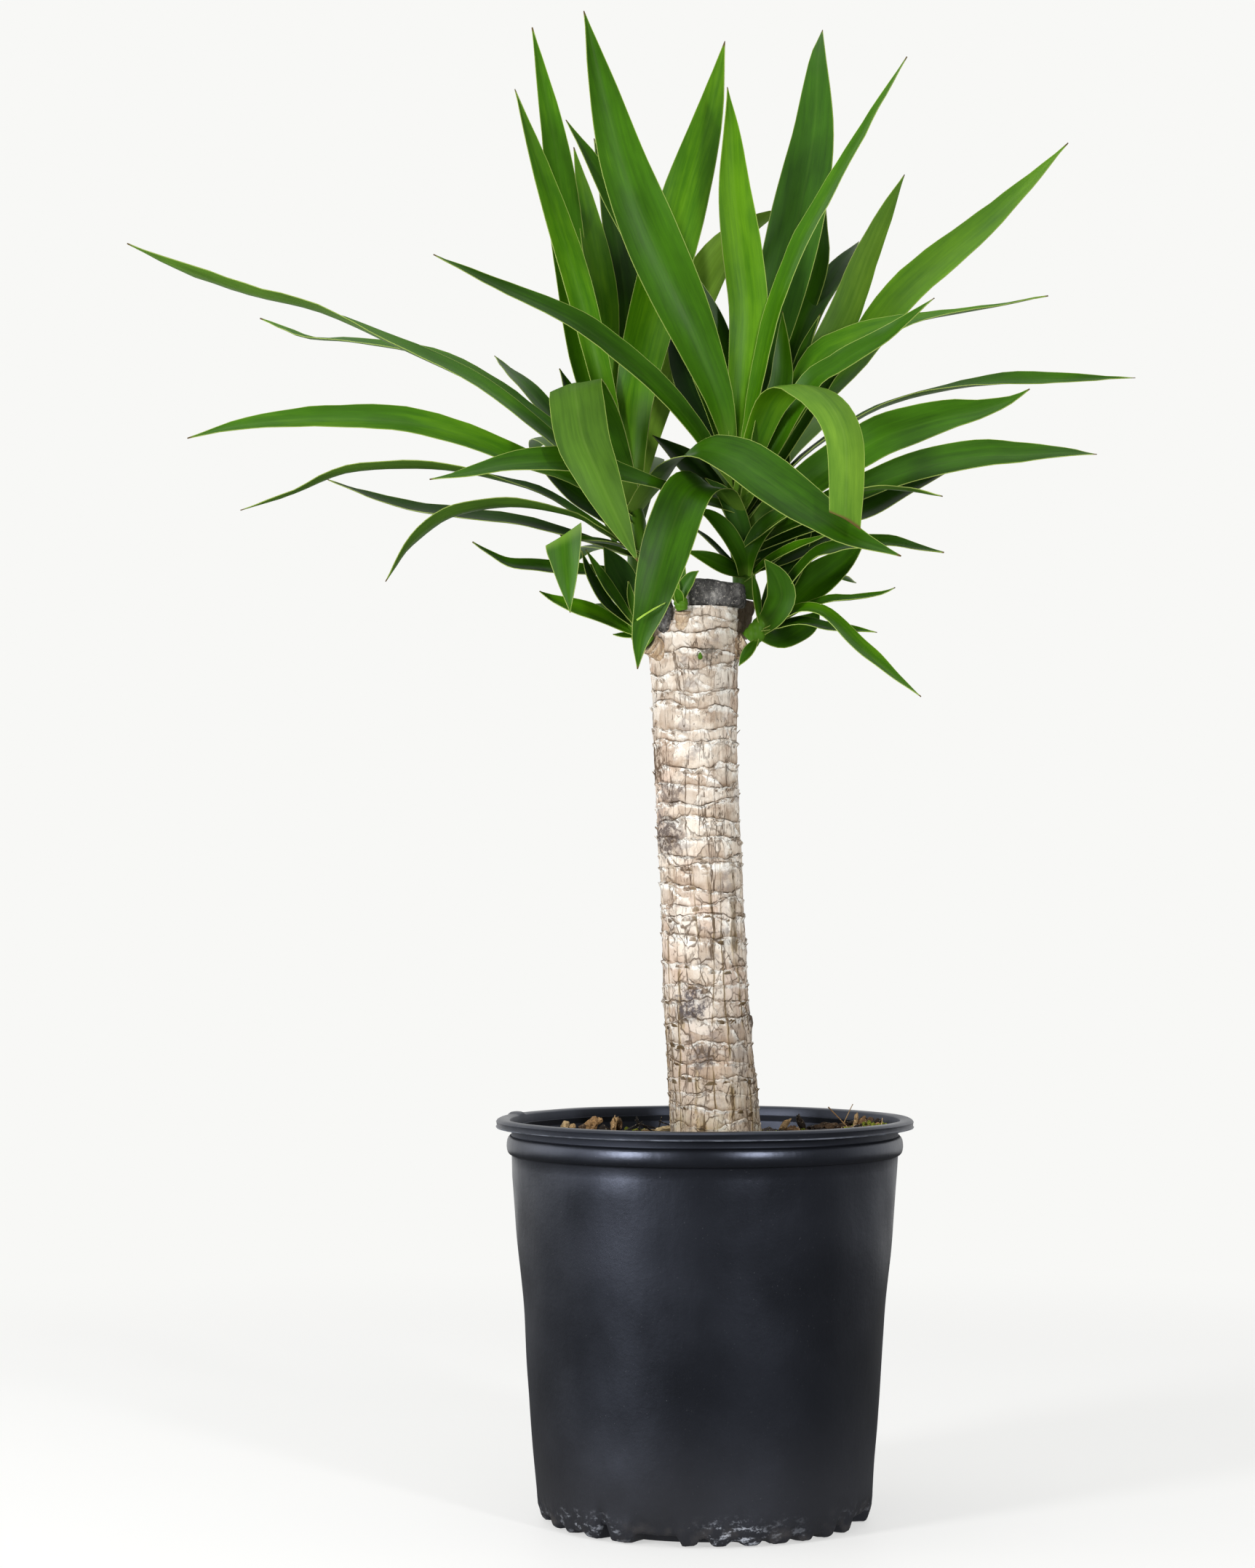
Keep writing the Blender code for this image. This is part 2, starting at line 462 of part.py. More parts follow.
def blade(name, shape):
    rough_length = blade_frames(shape, 6)[1]
    rows = 6 if rough_length > LONG_BLADE else 4
    if len(shape["points"]) > 8:
        rows = 8
    frames = blade_frames(shape, rows + 1)[0]
    bm = bmesh.new()
    bmesh.ops.create_grid(bm, x_segments=2, y_segments=rows, size=0.5)
    half_width = shape["width"] * MM / 2
    for vertex in bm.verts:
        t = vertex.co.y + 0.5
        place, side, face = frames[round(t * rows)]
        half = max(half_width * blade_breadth(t, shape["end"]), BLADE_TIP_WIDTH / 2)
        reach = vertex.co.x * 2
        vertex.co = place + side * half * reach + face * half * BLADE_KEEL * (abs(reach) - 0.5) * 2
    bmesh.ops.triangulate(bm, faces=bm.faces, quad_method="FIXED")
    bmesh.ops.recalc_face_normals(bm, faces=bm.faces)
    bmesh.ops.solidify(bm, geom=bm.faces, thickness=BLADE_THICKNESS)
    return mesh_object(name, bm)


def stem(name, points, look, sides=10):
    rings = [(seen_at(x, z, depth), radius * MM) for x, z, depth, radius in points]

    def place(u, v):
        index = round(v * (len(rings) - 1))
        middle, radius = rings[index]
        ahead = rings[min(index + 1, len(rings) - 1)][0] - rings[max(index - 1, 0)][0]
        turn = Vector((0, 0, 1)).rotation_difference(ahead.normalized())
        angle = 2 * math.pi * u
        return middle + turn @ Vector((math.cos(angle) * radius, math.sin(angle) * radius, 0))

    return mesh_object(name, wrapped(sides, len(rings) - 1, place), look)


def leafy_shoot(name, stem_points, leaves, look):
    shoot = stem(name, stem_points, look)
    blades = [blade(f"{name}_blade_{index}", shape) for index, shape in enumerate(leaves)]
    join_to(shoot, blades)
    smooth(shoot)
    return shoot


# Cane

def cane_middle(z):
    heights = [(height * MM, x * MM, radius * MM) for height, x, radius in CANE_SHAPE]
    if z <= heights[0][0]:
        return heights[0][1], heights[0][2]
    for (z0, x0, r0), (z1, x1, r1) in zip(heights, heights[1:]):
        if z <= z1:
            part = (z - z0) / (z1 - z0)
            return x0 + (x1 - x0) * part, r0 + (r1 - r0) * part
    return heights[-1][1], heights[-1][2]


# The cane's rings lie in pairs at each leaf scar: one just under its lip, one on it.
def cane_rings(rng):
    rings = [(CANE_FOOT_Z, 0, 0, 0), (0.262, 0, 0, 0)]
    z = 0.270
    while z < CANE_TOP_Z - 0.006:
        tilt = rng.uniform(0.3, 1.0) * SCAR_TILT
        phase = rng.uniform(0, 2 * math.pi)
        rings.append((z, tilt, phase, SCAR_LIP))
        rings.append((z + 0.0022, tilt, phase, -0.2 * SCAR_LIP))
        z += SCAR_PITCH * rng.uniform(0.85, 1.15)
    rings.append((CANE_TOP_Z, 0, 0, -0.001))
    return rings


def collar(name, spot, heading, radius, length, look=None):
    start = Vector(spot) * MM
    turn = Vector((0, 0, 1)).rotation_difference(Vector(heading).normalized())
    bm = bmesh.new()
    bmesh.ops.create_cone(bm, cap_ends=True, segments=14, radius1=radius * 0.8 * MM, radius2=radius * MM,
                          depth=length * MM)
    for vertex in bm.verts:
        vertex.co = start + turn @ (vertex.co + Vector((0, 0, length * MM / 2)))
    return mesh_object(name, bm, look)


def cane(look):
    rng = random.Random(SEED)
    rings = cane_rings(rng)
    ripple = [rng.uniform(-1, 1) for _ in range(CANE_SIDES)]

    def place(u, v):
        z, tilt, phase, lip = rings[round(v * (len(rings) - 1))]
        angle = 2 * math.pi * u
        x, radius = cane_middle(z)
        if z > CANE_FOOT_Z + 0.1:
            radius += lip * (0.7 + 0.5 * math.sin(2 * angle + phase)) + 0.0004 * ripple[round(u * CANE_SIDES)]
        z += tilt * math.cos(angle - phase)
        return Vector((x + radius * math.cos(angle), radius * math.sin(angle), z))

    item = mesh_object("cane", wrapped(CANE_SIDES, len(rings) - 1, place), look)
    join_to(item, [collar("collar_" + name, *shape) for name, shape in COLLARS.items()])
    smooth(item, 50)
    return item


# Wax

def wax_cap(look):
    rng = random.Random(SEED + 2)
    waves = [(rng.randint(2, 5), rng.uniform(0, 6.28), rng.uniform(0.01, 0.03)) for _ in range(4)]

    def place(u, v):
        share, z = WAX_RINGS[round(v * (len(WAX_RINGS) - 1))]
        angle = 2 * math.pi * u
        share *= 1 + sum(depth * math.sin(count * angle + phase) for count, phase, depth in waves)
        square = max(abs(math.cos(angle)), abs(math.sin(angle))) ** -0.45
        x = WAX_MIDDLE[0] + WAX_REACH[0] * share * square * math.cos(angle)
        y = WAX_MIDDLE[1] + WAX_REACH[1] * share * square * math.sin(angle)
        return Vector((x, y, z)) * MM

    item = mesh_object("wax_cap", wrapped(WAX_SIDES, len(WAX_RINGS) - 1, place), look)
    smooth(item)
    return item


def wax_patch(look):
    bm = bmesh.new()
    bmesh.ops.create_icosphere(bm, subdivisions=2, radius=1)
    for vertex in bm.verts:
        wobble = 1 + 0.06 * math.sin(5 * vertex.co.z + 3 * vertex.co.x)
        vertex.co = Vector([
            (middle + size * reach * wobble) * MM
            for middle, size, reach in zip(PATCH_MIDDLE, PATCH_SIZE, vertex.co)
        ])
    item = mesh_object("wax_patch", bm, look)
    cutter = cane_sleeve()
    cut_with(item, [cutter])
    bpy.data.objects.remove(cutter)
    smooth(item)
    return item


# A plain sleeve just larger than the cane's top, to seat the wax patch against it
def cane_sleeve():
    z0, z1 = 0.600, CANE_TOP_Z + GAP

    def place(u, v):
        x, radius = cane_middle(z0 + (z1 - z0) * v)
        angle = 2 * math.pi * u
        radius += 0.0014
        return Vector((x + radius * math.cos(angle), radius * math.sin(angle), z0 + (z1 - z0) * v))

    return mesh_object("sleeve", wrapped(32, 2, place))


def cut_with(item, cutters):
    for cutter in cutters:
        cutter.hide_render = True
        cutter.display_type = "WIRE"
        cut = item.modifiers.new("Cut", "BOOLEAN")
        cut.operation = "DIFFERENCE"
        cut.solver = "EXACT"
        cut.object = cutter
    apply_modifiers(item)


# Pot

def pot_outline():
    inner = WALL_THICKNESS
    return (
        (0.0, 0.0),
        (FLOOR_FLAT_RADIUS, 0.0),
        (BASE_RADIUS - 0.004, 0.0),
        (BASE_RADIUS, 0.0015),
        (WALL_FOOT_RADIUS, FOOT_Z),
        (WALL_TOP_RADIUS, BAND_BOTTOM_Z - 0.0005),
        (BAND_RADIUS, BAND_BOTTOM_Z + 0.002),
        (BAND_RADIUS + 0.0003, BAND_BOTTOM_Z + 0.0125),
        (BAND_RADIUS - 0.0012, BAND_BOTTOM_Z + 0.0145),
        (BAND_RADIUS + 0.0016, POT_HEIGHT - LIP_HEIGHT - 0.0006),
        (LIP_RADIUS - 0.001, POT_HEIGHT - LIP_HEIGHT),
        (LIP_RADIUS, POT_HEIGHT - LIP_HEIGHT + 0.0015),
        (LIP_RADIUS, POT_HEIGHT - 0.0018),
        (LIP_RADIUS - 0.0018, POT_HEIGHT),
        (LIP_INNER_RADIUS + 0.0012, POT_HEIGHT),
        (LIP_INNER_RADIUS, POT_HEIGHT - 0.0012),
        (LIP_INNER_RADIUS - 0.0008, BAND_BOTTOM_Z),
        (WALL_TOP_RADIUS - inner, BAND_BOTTOM_Z - 0.006),
        (WALL_FOOT_RADIUS - inner, FOOT_Z),
        (BASE_RADIUS - inner - 0.002, FLOOR_THICKNESS + 0.0085),
        (0.0, FLOOR_THICKNESS + 0.0085),
    )


def near_drain(degrees):
    return any(abs((degrees - middle + 180) % 360 - 180) < DRAIN_HALF_WIDTH for middle in DRAIN_ANGLES)


# The edge under the wall is cut into teeth, with four wide drain notches among them.
def notch_height(index):
    degrees = index * 360 / POT_SIDES
    if near_drain(degrees):
        return DRAIN_NOTCH
    return TOOTH_NOTCH if index % 2 else 0.0


def pot(look):
    outline = pot_outline()

    def place(u, v):
        row = round(v * (len(outline) - 1))
        radius, z = outline[row]
        angle = 2 * math.pi * u - math.pi / 2
        if row in (2, 3):
            z += notch_height(round(u * POT_SIDES) % POT_SIDES)
        return Vector((radius * math.cos(angle), radius * math.sin(angle), z))

    item = mesh_object("pot", wrapped(POT_SIDES, len(outline) - 1, place), look)
    smooth(item, 30)
    return item


# Soil

def soil_height(x, y, rng_waves):
    lift = sum(depth * math.sin(kx * x + ky * y + phase) for kx, ky, phase, depth in rng_waves)
    return SOIL_TOP_Z + lift


def soil(look):
    rng = random.Random(SEED + 1)
    waves = [
        (rng.uniform(-90, 90), rng.uniform(-90, 90), rng.uniform(0, 6.28), SOIL_ROUGHNESS / 3)
        for _ in range(5)
    ]
    top_radius = WALL_TOP_RADIUS - WALL_THICKNESS - GAP
    foot_radius = WALL_FOOT_RADIUS - WALL_THICKNESS - GAP
    floor_z = FLOOR_THICKNESS + 0.0085 + GAP
    rim_radius = LIP_INNER_RADIUS - 0.0012 - GAP
    outline = [
        (0.0, floor_z),
        (BASE_RADIUS - WALL_THICKNESS - 0.0026, floor_z),
        (foot_radius, FOOT_Z + 0.002),
        (top_radius - 0.0002, BAND_BOTTOM_Z - 0.0062),
        (rim_radius, SOIL_TOP_Z - 0.0045),
    ]
    outline += [(rim_radius * (1 - ring / SOIL_RINGS), None) for ring in range(SOIL_RINGS + 1)]

    def place(u, v):
        radius, z = outline[round(v * (len(outline) - 1))]
        angle = 2 * math.pi * u
        x, y = radius * math.cos(angle), radius * math.sin(angle)
        return Vector((x, y, soil_height(x, y, waves) if z is None else z))

    item = mesh_object("soil", wrapped(SOIL_SIDES, len(outline) - 1, place), look)
    join_to(item, [bark_chip(index, rng, waves, rim_radius) for index in range(CHIP_COUNT)])
    hole = stem_hole()
    cut_with(item, [hole])
    bpy.data.objects.remove(hole)
    smooth(item, 35)
    return item


def bark_chip(index, rng, waves, rim_radius):
    angle = rng.uniform(0, 2 * math.pi)
    radius = rng.uniform(0.050, rim_radius - 0.016)
    x, y = radius * math.cos(angle), radius * math.sin(angle)
    size = Vector((rng.uniform(7, 16), rng.uniform(5, 9), rng.uniform(3, 5))) * MM
    spin = rng.uniform(0, math.pi)
    lean = rng.uniform(-0.35, 0.35)
    bm = bmesh.new()
    bmesh.ops.create_cube(bm, size=1)
    bmesh.ops.scale(bm, vec=size, verts=bm.verts)
    for vertex in bm.verts:
        vertex.co.x *= 1 + 0.3 * math.copysign(1, vertex.co.y)
        vertex.co.z += lean * vertex.co.x
        co = vertex.co.copy()
        vertex.co.x = x + co.x * math.cos(spin) - co.y * math.sin(spin)
        vertex.co.y = y + co.x * math.sin(spin) + co.y * math.cos(spin)
        vertex.co.z = co.z + soil_height(x, y, waves) + 0.0005
    return mesh_object(f"chip_{index}", bm)


def stem_hole():
    x, radius = cane_middle(SOIL_TOP_Z)
    bm = bmesh.new()
    depth = POT_HEIGHT + 0.05 - (CANE_FOOT_Z - GAP)
    hole_radius = (radius + SCAR_LIP + 0.0012) / math.cos(math.pi / 32)
    bmesh.ops.create_cone(bm, cap_ends=True, segments=32, radius1=hole_radius, radius2=hole_radius,
                          depth=depth)
    bmesh.ops.translate(bm, verts=bm.verts, vec=(x, 0, CANE_FOOT_Z - GAP + depth / 2))
    return mesh_object("hole", bm)


def main():
    clear_scene()
    green = material("leaf_green", (0.06, 0.19, 0.02), 0.38)
    bark = material("cane_bark", (0.60, 0.50, 0.38), 0.85)
    wax = material("wax_grey", (0.045, 0.042, 0.042), 0.6)
    plastic = material("pot_black", (0.012, 0.013, 0.016), 0.42)
    earth = material("potting_soil", (0.06, 0.035, 0.02), 0.95)

    pot(plastic)
    soil(earth)
    cane(bark)
    wax_cap(wax)
    wax_patch(wax)
    leafy_shoot("shoot_left", LEFT_STEM, LEFT_LEAVES, green)
    leafy_shoot("shoot_centre", CENTRE_STEM, CENTRE_LEAVES, green)
    leafy_shoot("shoot_right", RIGHT_STEM, RIGHT_LEAVES, green)
    leafy_shoot("shoot_left_low", LEFT_LOW_STEM, LEFT_LOW_LEAVES, green)
    leafy_shoot("shoot_front", FRONT_STEM, FRONT_LEAVES, green)
    smooth(stem("shoot_bud", BUD_STEM, green, 8))


main()
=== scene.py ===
# Dresses the potted yucca: camera and studio, then the pot, the soil, the cane, the wax and
# the leafy shoots. Lengths are in metres unless a note says mm. -Y is the front.
import math
import random

import bmesh
import bpy
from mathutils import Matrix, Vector, noise


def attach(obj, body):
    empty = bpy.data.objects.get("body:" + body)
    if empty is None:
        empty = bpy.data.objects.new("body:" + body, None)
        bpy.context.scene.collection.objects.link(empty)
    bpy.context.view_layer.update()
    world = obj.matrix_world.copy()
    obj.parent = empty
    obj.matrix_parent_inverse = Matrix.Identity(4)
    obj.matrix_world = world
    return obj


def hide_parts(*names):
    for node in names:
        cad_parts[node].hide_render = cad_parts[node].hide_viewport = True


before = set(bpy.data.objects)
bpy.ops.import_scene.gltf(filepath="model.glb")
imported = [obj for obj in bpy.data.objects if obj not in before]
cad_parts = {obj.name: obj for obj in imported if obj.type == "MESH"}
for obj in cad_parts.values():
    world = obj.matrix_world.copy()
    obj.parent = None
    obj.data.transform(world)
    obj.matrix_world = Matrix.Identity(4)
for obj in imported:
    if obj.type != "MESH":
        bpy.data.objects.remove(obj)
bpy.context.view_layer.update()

mm = 0.001
fullTurn = 2 * math.pi
print("frame loaded")

# The photograph's viewpoint. Every leaf is laid out from here, so it is shared.
viewpoint = Vector((-0.053, -2.34, 0.428))

photoView = {
    "imageWidth": 1725, "imageHeight": 2156,
    "focalPixels": 4680,
    "horizonRow": 1231,
    "sensorWidth": 36.0,
}


def addCamera(view):
    camera = bpy.data.cameras.new("photoCamera")
    camera.sensor_fit = "VERTICAL"
    camera.sensor_width = view["sensorWidth"]
    camera.sensor_height = view["sensorWidth"] * view["imageHeight"] / view["imageWidth"]
    camera.lens = view["sensorWidth"] * view["focalPixels"] / view["imageWidth"]
    camera.shift_y = (view["horizonRow"] - view["imageHeight"] / 2) / view["imageHeight"]
    item = bpy.data.objects.new("photoCamera", camera)
    item.location = viewpoint
    item.rotation_euler = (math.radians(90), 0, 0)
    bpy.context.scene.collection.objects.link(item)
    bpy.context.scene.camera = item


addCamera(photoView)
print("camera set")


# Node helpers

def tint(code):  # "3a7a1e" to the linear colour that a socket takes
    parts = [int(code[i:i + 2], 16) / 255 for i in (0, 2, 4)]
    return (*[c / 12.92 if c <= 0.04045 else ((c + 0.055) / 1.055) ** 2.4 for c in parts], 1)


# A material and short names for the nodes that build it
class Look:
    def __init__(self, name, values):
        self.material = bpy.data.materials.new(name)
        self.material.use_nodes = True
        self.tree = self.material.node_tree
        self.shader = self.tree.nodes["Principled BSDF"]
        self.fill(self.shader, values)
        self.spot = self.node("ShaderNodeTexCoord", {}).outputs["Object"]

    def fill(self, node, values):
        for key, value in values.items():
            if isinstance(value, bpy.types.NodeSocket):
                self.tree.links.new(value, node.inputs[key])
            else:
                node.inputs[key].default_value = value

    def node(self, kind, values, **settings):
        node = self.tree.nodes.new(kind)
        for key, value in settings.items():
            setattr(node, key, value)
        self.fill(node, values)
        return node

    def stretch(self, scale, shift=(0, 0, 0)):
        values = {"Vector": self.spot, "Scale": scale, "Location": shift}
        return self.node("ShaderNodeMapping", values).outputs["Vector"]

    def noise(self, vector, scale, detail=4, roughness=0.55, distortion=0.0):
        values = {"Vector": vector, "Scale": scale, "Detail": detail, "Roughness": roughness,
                  "Distortion": distortion}
        return self.node("ShaderNodeTexNoise", values).outputs["Fac"]

    def warped(self, vector, scale, amount):
        values = {"Vector": vector, "Scale": scale, "Detail": 3}
        wobble = self.node("ShaderNodeTexNoise", values).outputs["Color"]
        shift = self.vectors("SUBTRACT", wobble, (0.5, 0.5, 0.5)).outputs["Vector"]
        return self.vectors("MULTIPLY_ADD", shift, (amount,) * 3, vector).outputs["Vector"]

    def cells(self, vector, scale, feature="F1", output="Distance"):
        values = {"Vector": vector, "Scale": scale}
        return self.node("ShaderNodeTexVoronoi", values, feature=feature).outputs[output]

    def reading(self, name, output="Vector"):
        return self.node("ShaderNodeAttribute", {}, attribute_name=name).outputs[output]

    def parts(self, vector):
        return self.node("ShaderNodeSeparateXYZ", {"Vector": vector}).outputs

    def joined(self, x, y, z):
        return self.node("ShaderNodeCombineXYZ", {"X": x, "Y": y, "Z": z}).outputs["Vector"]

    def vectors(self, operation, *values):
        return self.node("ShaderNodeVectorMath", dict(enumerate(values)), operation=operation)

    def away(self, middle):
        return self.vectors("DISTANCE", self.spot, middle).outputs["Value"]

    def length(self, vector):
        return self.vectors("LENGTH", vector).outputs["Value"]

    def maths(self, operation, *values):
        return self.node("ShaderNodeMath", dict(enumerate(values)), operation=operation).outputs[0]

    def times(self, first, second):
        return self.maths("MULTIPLY", first, second)

    def plus(self, first, second):
        return self.maths("ADD", first, second)

    def minus(self, first, second):
        return self.maths("SUBTRACT", first, second)

    def most(self, first, second):
        return self.maths("MAXIMUM", first, second)

    def swing(self, value, amount):  # a noise round 0.5 turned into a swing round 0
        return self.times(self.minus(value, 0.5), amount)

    def fromLine(self, share):  # how far a share is from the nearer of 0 and 1
        return self.maths("MINIMUM", share, self.minus(1.0, share))

    def fromMiddle(self, value):
        return self.maths("ABSOLUTE", self.minus(value, 0.5))

    def fade(self, value, low, high, start=0.0, end=1.0):
        values = {"Value": value, "From Min": low, "From Max": high, "To Min": start, "To Max": end}
        return self.node("ShaderNodeMapRange", values, interpolation_type="SMOOTHSTEP").outputs["Result"]

    def ramp(self, factor, *stops):
        node = self.node("ShaderNodeValToRGB", {"Fac": factor})
        steps = node.color_ramp.elements
        while len(steps) < len(stops):
            steps.new(0.5)
        for step, (position, colour) in zip(steps, stops):
            step.position = position
            step.color = tint(colour) if isinstance(colour, str) else (colour, colour, colour, 1)
        return node.outputs["Color"]

    def mix(self, factor, first, second):
        colours = [tint(value) if isinstance(value, str) else value for value in (first, second)]
        values = {0: factor, 6: colours[0], 7: colours[1]}
        return self.node("ShaderNodeMix", values, data_type="RGBA", clamp_factor=True).outputs[2]

    def bump(self, height, strength, distance, normal=None):
        values = {"Height": height, "Strength": strength, "Distance": distance}
        if normal:
            values["Normal"] = normal
        return self.node("ShaderNodeBump", values).outputs["Normal"]

    def done(self, colour, roughness, normal):
        self.fill(self.shader, {"Base Color": colour, "Roughness": roughness, "Normal": normal})
        return self.material


# Mesh helpers

def meshItem(name, bm, looks):
    mesh = bpy.data.meshes.new(name)
    bm.to_mesh(mesh)
    bm.free()
    item = bpy.data.objects.new(name, mesh)
    bpy.context.scene.collection.objects.link(item)
    for look in looks:
        mesh.materials.append(look)
    return item


# Sets a piece in the frame. node is the solid that it replaces, or None, and edges that turn by
# more than sharp degrees stay crisp.
def finished(name, bm, looks, node, sharp):
    item = meshItem(name, bm, looks)
    item.data.shade_smooth()
    item.data.set_sharp_from_angle(angle=math.radians(sharp))
    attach(item, "root")
    if node:
        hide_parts(node)
    print(f"{name}: {len(item.data.polygons)} faces")


# Turns a profile of (radius, z) rows once round the Z axis
def spunRound(profile, steps):
    bm = bmesh.new()
    corners = [bm.verts.new((0, -radius, z)) for radius, z in profile]
    edges = [bm.edges.new(pair) for pair in zip(corners, corners[1:])]
    bmesh.ops.spin(bm, geom=corners + edges, cent=(0, 0, 0), axis=(0, 0, 1), angle=fullTurn,
                   steps=steps, use_merge=True)
    bmesh.ops.remove_doubles(bm, verts=bm.verts, dist=1e-6)
    return bm


# A grid bent round into a closed tube. place(u, v) gives each vertex, with u going once
# round and v from one end to the other; both ends are filled.
def wrappedGrid(bm, sides, rows, place):
    made = bmesh.ops.create_grid(bm, x_segments=sides, y_segments=rows, size=0.5)["verts"]
    for vertex in made:
        u = (vertex.co.x + 0.5) % 1.0 if vertex.co.x < 0.4999 else 0.0
        vertex.co = place(u, vertex.co.y + 0.5)
    bmesh.ops.remove_doubles(bm, verts=made, dist=2e-6)
    made = [vertex for vertex in made if vertex.is_valid]
    rims = {edge for vertex in made for edge in vertex.link_edges if edge.is_boundary}
    ends = bmesh.ops.holes_fill(bm, edges=list(rims))["faces"]
    bmesh.ops.triangulate(bm, faces=[face for face in ends if len(face.verts) > 4])
    return made


def facesOutward(bm, faces=None):
    bmesh.ops.recalc_face_normals(bm, faces=faces or bm.faces)


def turned(vector, angle):
    c, s = math.cos(angle), math.sin(angle)
    return Vector((vector.x * c - vector.y * s, vector.x * s + vector.y * c, vector.z))


def ringPoint(angle, radius, z=0.0):
    return Vector((radius * math.cos(angle), radius * math.sin(angle), z))


def smoothStep(low, high, value):
    t = min(1.0, max(0.0, (value - low) / (high - low)))
    return t * t * (3 - 2 * t)


def grain(x, y, z):
    return noise.noise(Vector((x, y, z)))


# Studio: a plain pale floor, a pale surround and soft lights

studio = {
    "floorRadius": 1.7,
    "floorColours": ("a4a4a3", "a8a8a7"),
    "floorGlow": 0.57, "glowColour": "fbfbfa",
    "floorInGloss": 0.08,  # the floor as shiny surfaces see it
    "floorEdge": (0.8, 1.6),  # where the floor runs out into the surround
    "surroundColour": "f8f8f6",
    "surroundStrength": 1.0,
    "shadeStrength": 0.42,  # what the surround gives to matt surfaces
    # what shiny surfaces see of it, before and behind the object, and where one turns to the other
    "frontGloss": 0.05, "backGloss": 0.95, "glossTurn": (-0.5, 0.7),
    "lights": {
        # name: middle, aimed at, width, height, watts
        "windowLeft": ((-1.8, -1.7, 0.9), (0, 0, 0.35), 0.42, 1.2, 50),
        "windowRight": ((1.2, -2.1, 1.1), (0, 0, 0.35), 0.2, 0.9, 27),
        "wallLeft": ((-2.3, 0.3, 0.8), (0, 0, 0.4), 1.6, 1.4, 10),
        "ceiling": ((-0.3, -0.4, 2.9), (0, 0, 0.5), 2.2, 2.2, 21),
    },
}


def addFloor():
    glow = tint(studio["glowColour"])
    look = Look("paleFloor", {"Roughness": 0.6, "Specular IOR Level": 0.2, "Emission Color": glow,
                              "Emission Strength": studio["floorGlow"]})
    shade = look.noise(look.spot, 3.0, 2)
    look.fill(look.shader, {"Base Color": look.mix(shade, *studio["floorColours"])})

    def glowing(colour, strength):
        values = {"Color": colour, "Strength": strength}
        return look.node("ShaderNodeEmission", values).outputs["Emission"]

    def either(share, first, second):
        return look.node("ShaderNodeMixShader", {0: share, 1: first, 2: second}).outputs["Shader"]

    far = glowing(tint(studio["surroundColour"]), studio["surroundStrength"])
    edge = look.fade(look.length(look.spot), *studio["floorEdge"])
    seen = either(edge, look.shader.outputs["BSDF"], far)
    shiny = look.node("ShaderNodeLightPath", {}).outputs["Is Glossy Ray"]
    seen = either(shiny, seen, glowing(glow, studio["floorInGloss"]))
    look.tree.links.new(seen, look.tree.nodes["Material Output"].inputs["Surface"])
    bm = bmesh.new()
    bmesh.ops.create_circle(bm, cap_ends=True, segments=128, radius=studio["floorRadius"])
    meshItem("floor", bm, [look.material])


def addSurround():
    world = bpy.data.worlds.new("paleSurround")
    bpy.context.scene.world = world
    world.use_nodes = True
    tree = world.node_tree
    backdrop = tree.nodes["Background"]
    direction = tree.nodes.new("ShaderNodeTexCoord")
    split = tree.nodes.new("ShaderNodeSeparateXYZ")
    tree.links.new(direction.outputs["Generated"], split.inputs[0])
    gloss = tree.nodes.new("ShaderNodeMapRange")
    gloss.interpolation_type = "SMOOTHSTEP"
    values = (*studio["glossTurn"], studio["frontGloss"], studio["backGloss"])
    for key, value in zip(("From Min", "From Max", "To Min", "To Max"), values):
        gloss.inputs[key].default_value = value
    tree.links.new(split.outputs["Y"], gloss.inputs["Value"])
    path = tree.nodes.new("ShaderNodeLightPath")
    source = gloss.outputs["Result"]
    for ray, key in (("Is Diffuse Ray", "shadeStrength"), ("Is Camera Ray", "surroundStrength")):
        choose = tree.nodes.new("ShaderNodeMix")
        tree.links.new(path.outputs[ray], choose.inputs[0])
        tree.links.new(source, choose.inputs[2])
        choose.inputs[3].default_value = studio[key]
        source = choose.outputs[0]
    tree.links.new(source, backdrop.inputs["Strength"])
    backdrop.inputs["Color"].default_value = tint(studio["surroundColour"])


def addLights():
    for name, (middle, aim, width, height, watts) in studio["lights"].items():
        lamp = bpy.data.lights.new(name, "AREA")
        lamp.shape = "RECTANGLE"
        lamp.size = width
        lamp.size_y = height
        lamp.energy = watts
        item = bpy.data.objects.new(name, lamp)
        item.location = middle
        item.rotation_euler = (Vector(aim) - Vector(middle)).to_track_quat("-Z", "Y").to_euler()
        bpy.context.scene.collection.objects.link(item)


bpy.context.scene.view_settings.view_transform = "Standard"
addFloor()
addSurround()
addLights()
print("studio lit")


# Pot

